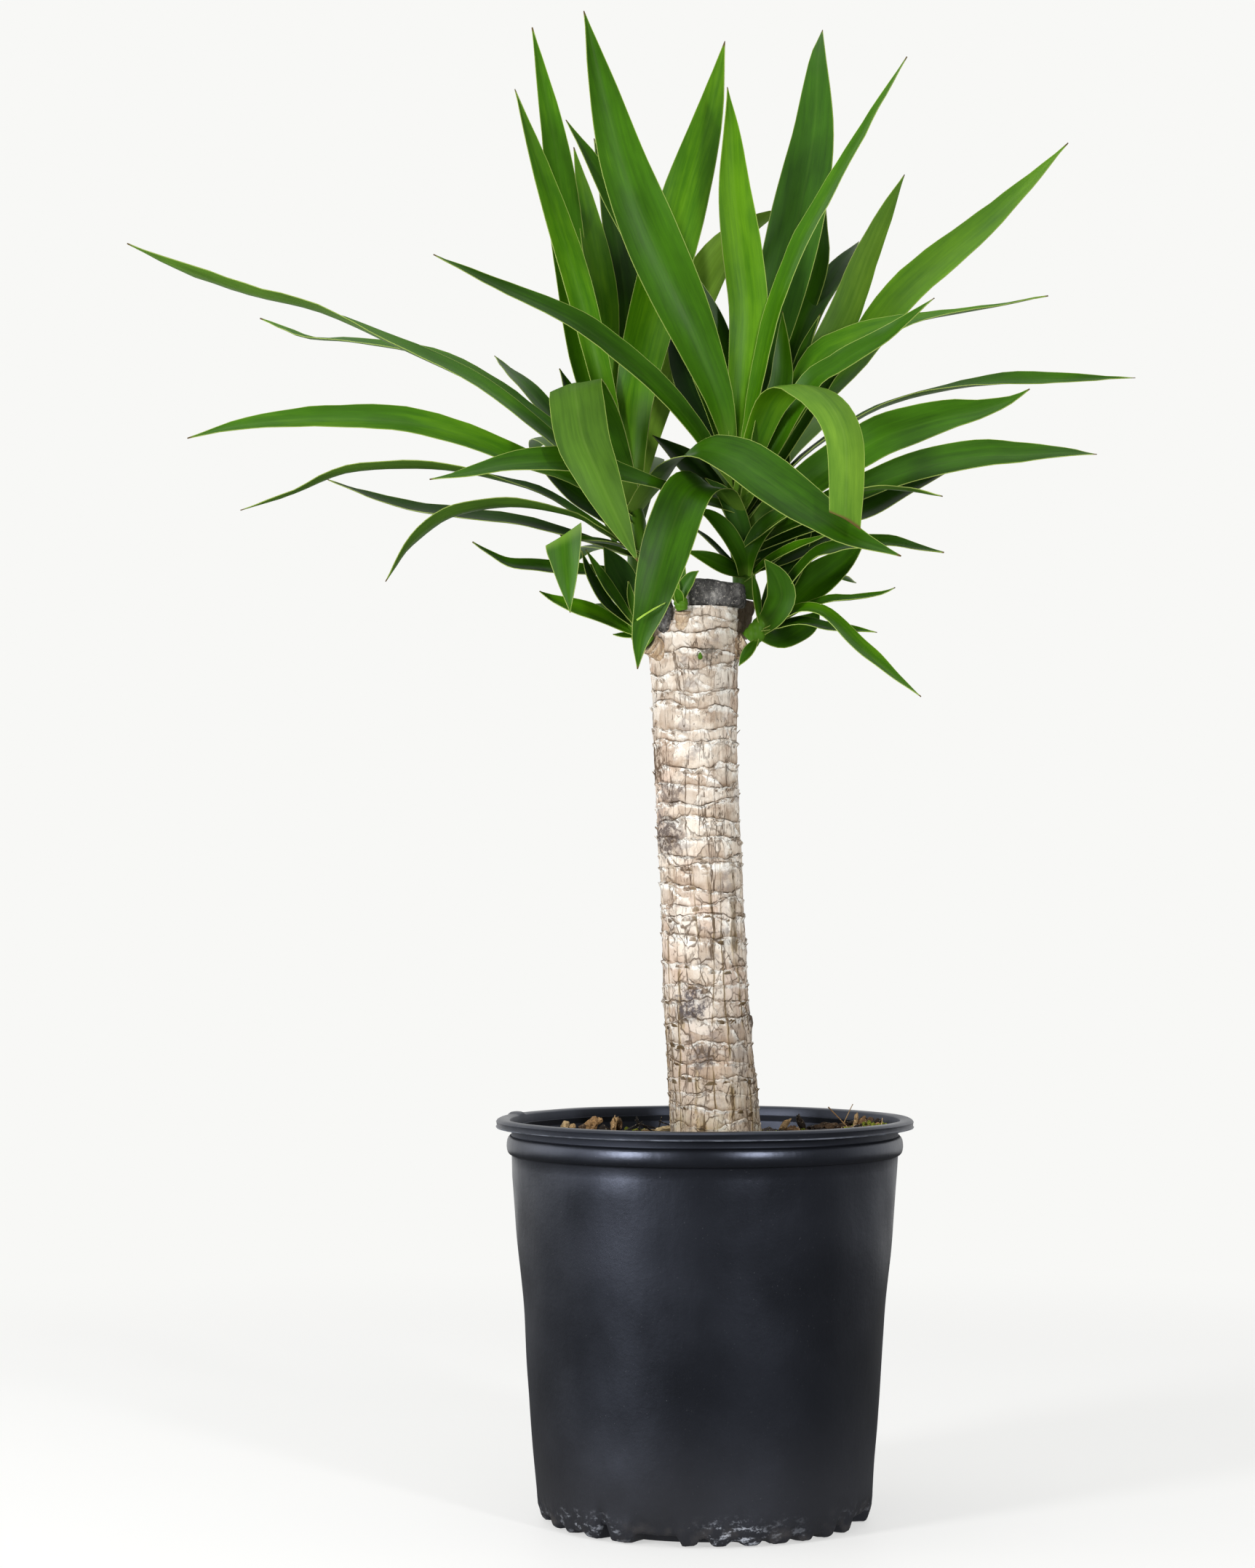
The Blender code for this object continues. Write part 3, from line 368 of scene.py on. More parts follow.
pot = {
    "height": 0.275,
    "lipRadius": 0.1432, "lipHeight": 0.0062, "lipInner": 0.1335,
    "bandRadius": 0.1353, "bandBottom": 0.2505,
    "wallTop": 0.1325, "wallFoot": 0.1146, "footHeight": 0.012,
    "wallThickness": 0.0025, "floorHeight": 0.0115,
    "steps": 360,
    "wallRows": 34,
    "dent": 0.0015,
    "flap": (-109, 0.0015),  # a small lifted bit of the lip: degrees from the front, and height
    # notches under the wall: start and end in degrees from the front, + to the right, and height in mm
    "notches": (
        (-26.8, -9.8, 6.5), (-3.7, 0.6, 5.2), (6.7, 11.6, 3.4), (18.2, 22.3, 3.4), (28.8, 33.4, 3.4),
        (38.8, 44.2, 3.2), (49.5, 55.5, 6.0), (60, 79, 8.0), (-40.2, -35.8, 10.0), (-54.5, -47, 3.0),
        (-64.6, -58, 3.4), (-82, -69, 5.0), (88, 93, 3), (101, 106, 3), (113, 118, 3), (125, 130, 3.2),
        (138, 143, 3), (153, 171, 7.5), (179, 184, 3), (191, 196, 3), (203, 208, 3), (215, 220, 3),
        (227, 232, 3), (243, 261, 7.5), (268, 273, 3),
    ),
    "plastic": ("0a0b0d", "0f1013"), "footPlastic": "29292b",
    "speck": "8c8d90", "scuff": "a2a6ae", "dirt": "6d655c", "lipScuffAndHighlight": "70757f",
    # where the foot is scuffed most: middle and reach
    "scuffs": (((-0.080, -0.078, 0.008), 0.036), ((0.017, -0.112, 0.004), 0.026)),
}


def potProfile():  # radius and height, from the middle of the underside to the middle of the floor
    top, bandBottom, lip = pot["height"], pot["bandBottom"], pot["lipRadius"]
    band, inner, wall = pot["bandRadius"], pot["lipInner"], pot["wallThickness"]
    lipBottom = top - pot["lipHeight"]
    footRadius, footTop = 0.1150, 0.0165
    rows = [
        (0.0, 0.0004), (0.05, 0.0004), (0.09, 0.0002), (0.097, 0.0), (0.1035, 0.0), (0.1072, 0.0002),
        (0.1098, 0.0006), (0.1112, 0.0016), (0.11205, 0.0034), (0.1129, 0.006), (0.1138, 0.009),
        (pot["wallFoot"], pot["footHeight"]), (footRadius, footTop),
    ]
    for index in range(pot["wallRows"]):
        share = (index + 1) / pot["wallRows"]
        rows.append((footRadius + (pot["wallTop"] - footRadius) * share,
                     footTop + (bandBottom - 0.0012 - footTop) * share))
    rows.append((pot["wallTop"] + 0.0004, bandBottom))
    rows += [(band + out, bandBottom + up) for out, up in (
        (-0.0010, 0.0006), (-0.0001, 0.0017), (0.0004, 0.0033), (0.0007, 0.0055), (0.0006, 0.0080),
        (0.0002, 0.0102), (-0.0005, 0.0119), (-0.0014, 0.0129), (-0.0024, 0.0133),
    )]
    rows += [(band + out, lipBottom + up) for out, up in (
        (-0.0040, -0.0004), (-0.0030, -0.0001), (0.0042, 0.0),
    )]
    rows += [(lip + out, lipBottom + up) for out, up in (
        (-0.0010, 0.0), (-0.0001, 0.0003), (0.0002, 0.0008), (-0.0004, 0.0014), (-0.0003, 0.0030),
    )]
    rows += [(lip + out, top + up) for out, up in (
        (0.0, -0.0019), (-0.0007, -0.0008), (-0.0020, -0.0001), (-0.0045, 0.0001),
    )]
    rows += [(inner + out, top + up) for out, up in (
        (0.0022, -0.0001), (0.0008, -0.0006), (0.0, -0.0016), (-0.0006, -0.006),
    )]
    rows += [
        (inner - 0.0011, bandBottom + 0.008), (inner - 0.0015, bandBottom),
        (pot["wallTop"] - wall, bandBottom - 0.006), (pot["wallFoot"] - wall, 0.014),
        (0.107, pot["floorHeight"]), (0.0, pot["floorHeight"]),
    ]
    return rows


def notchAt(degrees):
    for start, end, height in pot["notches"]:
        middle, half = (start + end) / 2, (end - start) / 2
        away = abs((degrees - middle + 180) % 360 - 180)
        if away < half + 1.2:
            return height * mm * (1 - smoothStep(half - 1.3, half + 1.1, away))
    return 0.0


def buildPot():
    bm = spunRound(potProfile(), pot["steps"])
    foot = pot["footHeight"]
    flapSide, flapHeight = pot["flap"]
    for vertex in bm.verts:
        x, y, z = vertex.co
        radius = math.hypot(x, y)
        if radius < 1e-6:
            continue
        degrees = math.degrees(math.atan2(x, -y))
        out = Vector((x / radius, y / radius, 0))
        if z < 0.032 and radius > 0.095:  # teeth of the foot, worn unevenly
            share = 1 - smoothStep(foot - 0.004, foot + 0.014, z)
            wear = 0.0006 * (1 + grain(x * 260, y * 260, 3.1)) * (1 - smoothStep(0.0, 0.008, z))
            vertex.co.z += notchAt(degrees) * share + wear
            vertex.co += out * 0.0007 * grain(x * 140, y * 140, z * 160) * share
        if foot < z < pot["bandBottom"] - 0.001 and radius > 0.1125:  # soft dents in the wall
            calm = smoothStep(0.012, 0.05, z) * (1 - smoothStep(0.235, 0.2495, z))
            push = grain(x * 14, y * 14, z * 11) + 0.5 * grain(x * 31 + 7, y * 31, z * 24)
            vertex.co += out * pot["dent"] * push * calm
        if z > 0.262:  # the lip isn't quite true
            flap = 1 - smoothStep(1.2, 3.2, abs(degrees - flapSide))
            vertex.co.z += 0.00035 * grain(x * 18, y * 18, 1.7)
            vertex.co.z += flapHeight * flap * smoothStep(0.272, 0.2745, z)
    facesOutward(bm)
    finished("potBody", bm, [potPlastic()], "pot", 38)


def potPlastic():
    look = Look("satinBlackPlastic", {"Specular IOR Level": 1.0, "Specular Tint": tint("d8e2ff")})
    x, y, z = look.parts(look.spot)
    radius = look.length(look.joined(x, y, 0.0))
    base = look.mix(look.noise(look.spot, 9, 3), *pot["plastic"])
    base = look.mix(look.fade(z, 0.10, 0.01, 0.0, 0.9), base, pot["footPlastic"])
    specks = look.fade(look.noise(look.spot, 900, 2, 0.7), 0.725, 0.76)
    base = look.mix(look.times(specks, 0.35), base, pot["speck"])
    # pale scuffs on the teeth of the foot
    low = look.fade(z, 0.008, 0.024, 1.0, 0.0)
    low = look.times(low, look.fade(radius, 0.107, 0.110))
    torn = look.fade(look.noise(look.stretch((1, 1, 1.6)), 170, 6, 0.7), 0.52, 0.66)
    patchy = look.fade(look.noise(look.spot, 22, 2), 0.46, 0.60)
    for middle, reach in pot["scuffs"]:
        near = look.fade(look.away(middle), reach, reach * 0.6)
        patchy = look.most(look.times(patchy, 0.5), near)
    scuff = look.times(look.times(low, torn), patchy)
    base = look.mix(scuff, base, pot["scuff"])
    smudge = look.times(low, look.fade(look.noise(look.spot, 60, 4), 0.5, 0.75))
    base = look.mix(look.times(smudge, 0.2), base, pot["dirt"])
    # the lower rim of the lip is painted paler along a thin broken line: a painted highlight on an edge that
    # is also scuffed
    rim = look.minus(z, pot["height"] - pot["lipHeight"] + 0.0004)
    lipLine = look.fade(look.maths("ABSOLUTE", rim), 0.0007, 0.0002)
    lipLine = look.times(lipLine, look.fade(look.noise(look.spot, 70, 4), 0.4, 0.6, 0.35, 1.0))
    base = look.mix(look.times(lipLine, look.fade(radius, 0.1415, 0.1425)), base, pot["lipScuffAndHighlight"])
    # duller where it is scuffed, and inside
    rough = look.ramp(look.noise(look.spot, 10, 4), (0.36, 0.30), (0.64, 0.44))
    rough = look.plus(rough, look.times(scuff, 0.35))
    inside = look.times(look.fade(radius, 0.1342, 0.1336), look.fade(z, 0.2535, 0.2555))
    rough = look.plus(rough, look.times(inside, 0.22))
    normal = look.bump(look.noise(look.spot, 320, 5, 0.65), 0.16, 0.0006)
    normal = look.bump(look.noise(look.stretch((1, 1, 0.35)), 48, 3), 0.12, 0.003, normal)
    return look.done(base, rough, normal)


buildPot()


# Soil: a rough bed with bark chips, twigs, dry grass and moss lying on it

soil = {
    "top": 0.2572, "edgeRadius": 0.1316, "steps": 180, "rings": 52,
    "caneX": 0.008, "caneRadius": 0.0335,  # where the cane comes out
    "chips": 250, "twigs": 70, "grass": 26, "mossTufts": 46, "crumbs": 420,
    "twigTones": (0.12, 0.25, 0.5, 0.75, 0.95),
    "seed": 21,
    "earth": ((0.32, "0b0806"), (0.5, "1c130d"), (0.62, "33241a"), (0.76, "5a4332")),
    "earthFleck": "7a5233", "earthMoss": "59601f",
    "bark": ((0.0, "15110e"), (0.3, "31251b"), (0.5, "57422f"), (0.7, "80613f"), (0.85, "a98356"),
             (1.0, "d0b88c")),
    "barkDark": "0e0a07", "barkPale": "d8c7a6",
    "moss": ((0.3, "2c3410"), (0.5, "68701f"), (0.7, "a8a544")),
    # things that show above the rim: kind, x, y, lift, length, width, thickness (mm),
    # turn and tilt (degrees) and tone, from 0, dark, to 1, pale
    "placed": (
        ("lump", -79, 62, 7.5, 13, 10, 8, 12, 40, 0.80), ("lump", -74.5, 64, 10.5, 8, 7, 5, 20, 20, 0.86),
        ("lump", -84, 60, 5.5, 8, 6, 5, 30, 10, 0.5), ("lump", -62.5, 62, 8.5, 12, 10, 4.5, 10, 80, 0.88),
        ("lump", -59.5, 64, 8.0, 11, 7, 4, 40, 70, 0.62), ("lump", -97, 60, 7.5, 6, 6, 6, 10, 30, 0.95),
        ("lump", -92, 60, 6.5, 5, 4, 4, 10, 30, 0.9), ("lump", -70, 60, 5.5, 7, 6, 5, 10, 30, 0.15),
        ("chip", -50, 64, 6.5, 18, 3.5, 2, 14, 28, 0.05), ("chip", -45, 66, 7.5, 15, 4, 2, -12, 105, 0.04),
        ("chip", -41, 60, 8.0, 17, 3, 1.6, 20, -32, 0.08), ("lump", -25, 14, 9.6, 17, 9, 3.4, 6, 4, 1.0),
        ("lump", 58, 66, 6.5, 12, 8, 4, -20, 50, 0.9), ("lump", 62, 62, 3.5, 10, 7, 5, 30, 20, 0.6),
        ("lump", 69.5, 64, 7.5, 13, 8, 4, 8, 108, 0.28), ("lump", 84, 60, 4.5, 12, 6, 5, -16, 14, 0.45),
        ("lump", 78, 62, 3.5, 8, 6, 5, -16, 14, 0.3), ("lump", 91, 56, 4.0, 11, 7, 5, 20, 10, 0.55),
        ("lump", 97, 52, 3.5, 9, 6, 5, -16, 14, 0.42), ("lump", 107, 44, 4.5, 11, 7, 3, -12, 84, 0.9),
        ("lump", 110.5, 43, 3.0, 9, 6, 4, 30, 60, 0.66), ("lump", 118, 32, 1.6, 9, 5, 4, -50, 24, 0.5),
        ("lump", 121, 24, 1.5, 6, 5, 4, -50, 24, 0.85), ("chip", 46, 52, 4.0, 14, 7, 4, 80, 20, 0.3),
        ("lump", 114, 38, 2.2, 6, 5, 4, 20, 30, 0.92), ("twig", 123, 20, 3.5, 9, 0.9, 0.9, 60, 70, 0.95),
        ("lump", 112, 46, 3.5, 8, 6, 5, 20, 30, 0.2), ("lump", 120, 28, 3.0, 8, 5, 5, -20, 30, 0.25),
        ("lump", 104, 54, 3.0, 9, 6, 5, 40, 10, 0.3), ("lump", 116, 36, 3.6, 6, 4, 5, -20, 60, 0.5),
        ("twig", -36, 58, 7.5, 22, 1.5, 1.5, 10, -14, 0.12),
        ("twig", -31, 52, 8.0, 15, 1.3, 1.3, 15, 74, 0.08),
        ("twig", -27, 50, 11.0, 9, 1.2, 1.2, 10, -20, 0.1), ("twig", 96, 48, 9.0, 24, 1.0, 1.0, 6, -46, 0.85),
        ("twig", 101, 50, 9.0, 20, 0.9, 0.9, 12, 64, 0.9), ("twig", 90, 56, 5.0, 20, 1.0, 1.0, -30, 10, 0.6),
    ),
    # moss that shows above the rim: x and y in mm
    "mossPlaced": (
        (47, 50), (53, 44), (56, 58), (114, 34), (118, 24), (122, 14), (117, 40), (121, 30), (112, 48),
        (44, 56), (50, 62), (104, 54), (110, 44), (-29, 12), (-34, 4), (-92, 56), (66, 60), (120, 4),
    ),
}


def soilHeight(x, y):
    z = soil["top"] + 0.0016 * grain(x * 26, y * 26, 4.0) + 0.0012 * grain(x * 75, y * 75, 9.0)
    z += 0.0036 * smoothStep(0.03, 0.11, x) + 0.0052 * smoothStep(0.086, 0.118, x)  # heaped at the right
    return z + 0.0009 * abs(grain(x * 210, y * 210, 2.0))


def dampEarth():
    look = Look("dampPottingSoil", {"Specular IOR Level": 0.25})
    fine = look.noise(look.spot, 420, 6, 0.7)
    base = look.ramp(fine, *soil["earth"])
    fleck = look.fade(look.cells(look.spot, 230), 0.22, 0.1)
    warm = look.fade(look.noise(look.spot, 95, 2), 0.5, 0.62)
    base = look.mix(look.times(fleck, warm), base, soil["earthFleck"])
    green = look.fade(look.noise(look.spot, 38, 4), 0.56, 0.66)
    green = look.times(green, look.fade(fine, 0.42, 0.6))
    base = look.mix(look.times(green, 0.75), base, soil["earthMoss"])
    normal = look.bump(fine, 0.9, 0.0018, look.bump(look.cells(look.spot, 180), 0.6, 0.002))
    return look.done(base, look.ramp(fine, (0.3, 0.75), (0.7, 0.95)), normal)


def looseBark():
    look = Look("barkBits", {"Specular IOR Level": 0.3})
    fibre = look.noise(look.stretch((1, 1, 2.5)), 520, 5, 0.65)
    base = look.ramp(look.reading("bitTone", "Fac"), *soil["bark"])
    base = look.mix(look.fade(fibre, 0.35, 0.65), look.mix(0.55, base, soil["barkDark"]), base)
    base = look.mix(look.fade(look.noise(look.spot, 800, 2), 0.66, 0.72), base, soil["barkPale"])
    return look.done(base, look.ramp(fibre, (0.3, 0.7), (0.7, 0.92)), look.bump(fibre, 0.7, 0.001))


def mossGreen():
    look = Look("mossTufts", {"Specular IOR Level": 0.2})
    shade = look.noise(look.spot, 700, 4, 0.7)
    return look.done(look.ramp(shade, *soil["moss"]), 0.9, look.bump(shade, 0.9, 0.0015))


def fromCane(x, y):
    return math.hypot(x - soil["caneX"], y)


def somewhere(rng, reach, clear):  # a random place on the soil, clear of the cane
    while True:
        radius, angle = reach * math.sqrt(rng.random()), rng.uniform(0, fullTurn)
        x, y = radius * math.cos(angle), radius * math.sin(angle)
        if fromCane(x, y) > clear:
            return x, y


def buildSoilBed():
    edge, rings, top, cane = soil["edgeRadius"], soil["rings"], soil["top"], soil["caneRadius"]
    profile = [(0.0, 0.0122), (0.1085, 0.0122), (0.1108, 0.016), (0.1292, 0.2435), (edge, 0.2545)]
    profile += [(edge * (1 - ring / rings), top) for ring in range(rings + 1)]
    bm = spunRound(profile, soil["steps"])
    for vertex in bm.verts:
        if vertex.co.z > 0.257:
            x, y = vertex.co.x, vertex.co.y
            vertex.co.z = soilHeight(x, y)
            banked = 1 - smoothStep(cane, cane + 0.016, fromCane(x, y))  # up against the cane
            vertex.co.z += 0.0016 * banked
            vertex.co.x += 0.0007 * grain(x * 300, y * 300, 5)
            vertex.co.y += 0.0007 * grain(x * 300, y * 300, 8)
    facesOutward(bm)
    finished("soilBed", bm, [dampEarth()], "soil", 60)


# The bits start 1 across, and addBit gives them their size and place

def chipForm(bm, rng):
    made = bmesh.ops.create_icosphere(bm, subdivisions=1, radius=0.5)["verts"]
    for vertex in made:
        square = max(abs(part) for part in vertex.co) / 0.5
        vertex.co = vertex.co / max(square, 0.55) * (1 + rng.uniform(-0.14, 0.14))
    return made


def lumpForm(bm, shift):
    made = bmesh.ops.create_icosphere(bm, subdivisions=3, radius=0.5)["verts"]
    for vertex in made:
        x, y, z = vertex.co
        swell = 0.5 * grain(x * 3 + shift, y * 3, z * 3) + 0.28 * grain(x * 9, y * 9 + shift, z * 9)
        vertex.co = vertex.co * (1 + swell)
    return made


def twigForm(bm, slimness, rng):
    bend = rng.uniform(-0.22, 0.22) * slimness * 2

    def place(u, v):
        point = ringPoint(fullTurn * u, 0.5 - 0.18 * v)
        return Vector((v - 0.5, point.x + bend * (0.25 - (v - 0.5) ** 2), point.y))

    return wrappedGrid(bm, 6, 5, place)


def addBit(bm, layer, kind, size, middle, turn, tilt, tone, rng):
    if kind == "chip":
        made = chipForm(bm, rng)
    elif kind == "lump":
        made = lumpForm(bm, middle.x * 900)
    else:
        made = twigForm(bm, size.x / size.y, rng)
    c, s = math.cos(tilt), math.sin(tilt)
    for vertex in made:
        x, y, z = (part * across for part, across in zip(vertex.co, size))
        vertex.co = middle + turned(Vector((x * c - z * s, y, x * s + z * c)), turn)
        vertex[layer] = tone


def buildSoilBits():
    rng = random.Random(soil["seed"])
    bm = bmesh.new()
    layer = bm.verts.layers.float.new("bitTone")

    def drop(kind, x, y, size, lift, tilt, pickTone):
        turn, lean = rng.uniform(0, 6.28), rng.uniform(-tilt, tilt)
        middle = Vector((x, y, soilHeight(x, y) + lift))
        addBit(bm, layer, kind, size, middle, turn, lean, pickTone(), rng)

    for _ in range(soil["chips"]):
        x, y = somewhere(rng, 0.122, 0.040)
        size = Vector((rng.uniform(4, 13), rng.uniform(3, 8), rng.uniform(1.5, 4))) * mm
        tone = min(1.0, max(0.0, rng.gauss(0.38, 0.22)))
        drop("chip", x, y, size, size.z * 0.25, 0.4, lambda: tone)
    for _ in range(soil["crumbs"]):
        x, y = somewhere(rng, 0.128, 0.040)
        size = Vector([rng.uniform(1.2, 3.4) * mm for _ in range(3)])
        drop("chip", x, y, size, size.z * 0.3, 0.6, lambda: rng.uniform(0.0, 0.6))
    for _ in range(soil["twigs"]):
        x, y = somewhere(rng, 0.112, 0.040)
        width = rng.uniform(0.8, 1.9) * mm
        size = Vector((rng.uniform(10, 26) * mm, width, width))
        drop("twig", x, y, size, width + 0.0008, 0.12, lambda: rng.choice(soil["twigTones"]))
    for _ in range(soil["grass"]):
        x, y = somewhere(rng, 0.110, 0.040)
        size = Vector((rng.uniform(12, 24), 0.9, 0.6)) * mm
        drop("twig", x, y, size, 0.0035, 0.3, lambda: rng.uniform(0.85, 1.0))
    for kind, x, y, lift, length, width, thick, turn, tilt, tone in soil["placed"]:
        middle = Vector((x, y, lift)) * mm
        middle.z += soilHeight(middle.x, middle.y)
        size = Vector((length, width, thick)) * mm
        addBit(bm, layer, kind, size, middle, math.radians(turn), math.radians(tilt), tone, rng)
    facesOutward(bm)
    finished("soilBits", bm, [looseBark()], None, 30)


def buildMoss():
    rng = random.Random(soil["seed"] + 1)
    spots = [(x * mm, y * mm) for x, y in soil["mossPlaced"]]
    while len(spots) < soil["mossTufts"]:
        radius, angle = 0.124 * math.sqrt(rng.random()), rng.uniform(0, 6.28)
        x, y = radius * math.cos(angle), radius * math.sin(angle)
        if fromCane(x, y) > 0.042:
            spots.append((x, y))
    bm = bmesh.new()
    for x, y in spots:
        for _ in range(rng.randint(6, 12)):
            px, py = x + rng.gauss(0, 0.0045), y + rng.gauss(0, 0.0045)
            if math.hypot(px, py) > 0.128:
                continue
            radius = rng.uniform(0.8, 2.0) * mm
            made = bmesh.ops.create_icosphere(bm, subdivisions=1, radius=radius)["verts"]
            lift = rng.uniform(0.0, 0.0034 if px > 0.03 and py > 0 else 0.0016)  # fuller at the back right
            middle = Vector((px, py, soilHeight(px, py) + lift))
            for vertex in made:
                vertex.co = vertex.co * (1 + rng.uniform(-0.25, 0.25)) + middle
    facesOutward(bm)
    finished("mossTufts", bm, [mossGreen()], None, 30)


buildSoilBed()
buildSoilBits()
buildMoss()


# Cane: ring-like leaf scars with papery lips, cracks between them, and a ropy foot

cane = {
    "foot": 0.182, "top": 0.6255, "sides": 168,
    # height, middle x and radius, in mm
    "outline": (
        (260, 8.0, 31.2), (284, 6.5, 30.5), (324, 3.3, 29.3), (354, 1.0, 28.9), (394, -0.5, 28.7),
        (434, -2.2, 28.1), (484, -4.5, 28.2), (524, -6.4, 28.3), (569, -6.8, 29.2), (594, -7.6, 30.4),
        (608, -6.5, 28.6), (626, -4.0, 26.5),
    ),
    # heights of the scar lines at the front and how far they climb to the right, in mm
    "scars": (
        (262, 0), (272, 1), (283.5, -1.5), (293.5, 1), (303.5, 0.5), (316, -2), (327.5, 1.5),
        (343.5, 0), (356, -1), (366, 1.5), (381, -1), (401, -3), (413.5, 1), (423.5, 2.5), (434, -1),
        (448.5, 1.5), (457, 0.5), (467, -2), (479.5, 1), (491.5, 2), (503.5, -2.5), (517, 1),
        (533, -1.5), (543.5, 1.5), (556.5, -2), (569, 1), (583.5, 4.5), (595, -1), (607, 1.5), (617, -1),
    ),
    "scarWander": 3.5, "leastGap": 1.4, "seams": 17,
    # how far the rows of the mesh are up the way from one scar to the next
    "steps": (0.0, 0.03, 0.07, 0.13, 0.22, 0.34, 0.47, 0.6, 0.71, 0.8, 0.87, 0.92, 0.96, 0.985),
    "topSteps": (0.0, 0.1, 0.25, 0.45, 0.65, 0.82, 0.93),
    "cutRings": (1.0, 0.96, 0.86, 0.6, 0.3),
    # knots: x, y, z, reach and height in mm
    "knots": (
        (26.5, -9, 471, 5.5, 2.2), (31.0, -3, 341, 6.5, 2.6), (-36.5, -8, 595, 5.0, 2.0),
        (-10.5, -26.5, 351, 9.5, 2.2), (-27, -12, 519, 12, 0.9), (-28, -14, 470, 14, 0.9),
        (4, 29, 430, 8, 1.8), (-20, 22, 520, 7, 1.6),
    ),
    "flakes": 300, "flakeThickness": 0.0005, "seed": 5,
    # collars that the shoots grow from: start, heading, radius and length, in mm
    "collars": (
        ((-34, 3, 599), (-0.2, 0, 1), 10.5, 17), ((21.5, 13, 606), (0.15, 0, 1), 10.5, 26.2),
        ((17, -4, 594), (0.86, -0.1, 0.5), 8.5, 13.5), ((-27, -15, 592), (-0.8, -0.3, 0.55), 7.5, 13.2),
        ((-15.5, -23, 609), (0, -0.25, 1), 5.5, 12.8),
    ),
    "collarRing": 5.5,  # from one ring of a collar to the next, in mm
    # the scarBand attribute of collars and of shreds, and from where on the material takes it for theirs
    "collarBand": 40.0, "collarsFrom": 39, "flakeBand": 60.9, "flakesFrom": 59,
    "bark": ((0.28, "8c7866"), (0.38, "b8a593"), (0.48, "d2c4b4"), (0.59, "e1d7ca"), (0.72, "eee8df")),
    "ochre": ((0.36, "6b573f"), (0.46, "a08869"), (0.55, "c1a98a"), (0.68, "d8c9b2")),
    "tanCollar": ((0.35, "7a5c3a"), (0.5, "ae8a5c"), (0.65, "cfb58a")),
    "seamBark": ((0.38, "735b35"), (0.5, "9c8252"), (0.62, "bfa97c")),
    "warmBark": "c4a794", "dullPlate": "a08b78", "palePlate": "efe9e0", "greyBark": "8a8382",
    "paper": "f4f1ea", "stain": "8c745c", "crack": "4f3c28", "fleck": "6b5848",
    "moss": "858046", "seamCore": "51401f", "collarShade": "2c2418",
    "lowerTint": "6d5946", "upperTint": "8c7d6c",
    # worn patches, knots and the grey smear: middle, reach, colour and strength
    "patches": (
        ((-0.0345, -0.008, 0.518), 0.017, "64503f", 0.95), ((-0.030, -0.014, 0.470), 0.021, "5f544f", 0.95),
        ((-0.024, -0.020, 0.497), 0.012, "6d6058", 0.85), ((-0.004, -0.03, 0.318), 0.010, "6c6564", 0.8),
        ((-0.0105, -0.030, 0.353), 0.014, "565257", 0.95), ((0.0325, -0.003, 0.341), 0.008, "3f3a33", 0.9),
        ((0.028, -0.009, 0.471), 0.008, "9a8264", 0.7), ((0.003, -0.032, 0.5925), 0.0085, "55524c", 0.85),
        ((-0.004, 0.030, 0.430), 0.012, "5a4d3c", 0.8), ((-0.022, 0.024, 0.520), 0.012, "6d5941", 0.8),
    ),
}


def caneMiddle(z):  # the middle x and the radius at a height
    rows = [(height * mm, x * mm, radius * mm) for height, x, radius in cane["outline"]]
    if z <= rows[0][0]:
        return rows[0][1:]
    for (z0, x0, r0), (z1, x1, r1) in zip(rows, rows[1:]):
        if z <= z1:
            part = smoothStep(z0, z1, z) * 0.3 + (z - z0) / (z1 - z0) * 0.7
            return x0 + (x1 - x0) * part, r0 + (r1 - r0) * part
    return rows[-1][1:]


def scarLines(angle):  # the heights of all scar lines on one side of the cane
    c, s = math.cos(angle), math.sin(angle)
    lines = []
    for index, (z, climb) in enumerate(cane["scars"]):
        wander = cane["scarWander"] * grain(c * 1.3 + index * 5.7, s * 1.3, index * 0.9)
        wander += 0.95 * grain(c * 4.5 + index * 3.1, s * 4.5, 7.7)
        wander += 0.50 * grain(c * 13 + index * 2.3, s * 13, 3.7)
        goal = z + climb * c + wander * 1.6
        if lines:
            goal = max(goal, lines[-1] / mm + cane["leastGap"])
        lines.append(goal * mm)
    return lines


def scarRelief(f, lip, plate):
    groove = -0.55 * (1 - smoothStep(0.0, 0.075, f)) - 0.55 * smoothStep(0.972, 1.0, f)
    edge = lip * smoothStep(0.78, 0.95, f) * (1 - smoothStep(0.965, 1.0, f))
    belly = plate * math.sin(math.pi * min(1.0, f / 0.8))
    return (groove + edge + belly) * mm


# A second run of slanting scars that crosses the first: its own count up the cane, and how strong it is there
def crossScar(angle, z):
    c, s = math.cos(angle), math.sin(angle)
    count = z / 0.021 + 0.85 * math.sin(angle + 0.9) + 0.9 * grain(c * 1.1, s * 1.1, z * 19)
    return count, smoothStep(-0.06, 0.2, grain(c * 1.9 + 9, s * 1.9, z * 38))


# Long seams that wander up the cane: how far round from one seam to the next a place is
def seamTurn(angle, z):
    c, s = math.cos(angle), math.sin(angle)
    wander = 0.9 * grain(c * 2.2, s * 2.2, z * 9) + 0.16 * grain(c * 6, s * 6, z * 60)
    return cane["seams"] * angle / fullTurn + wander


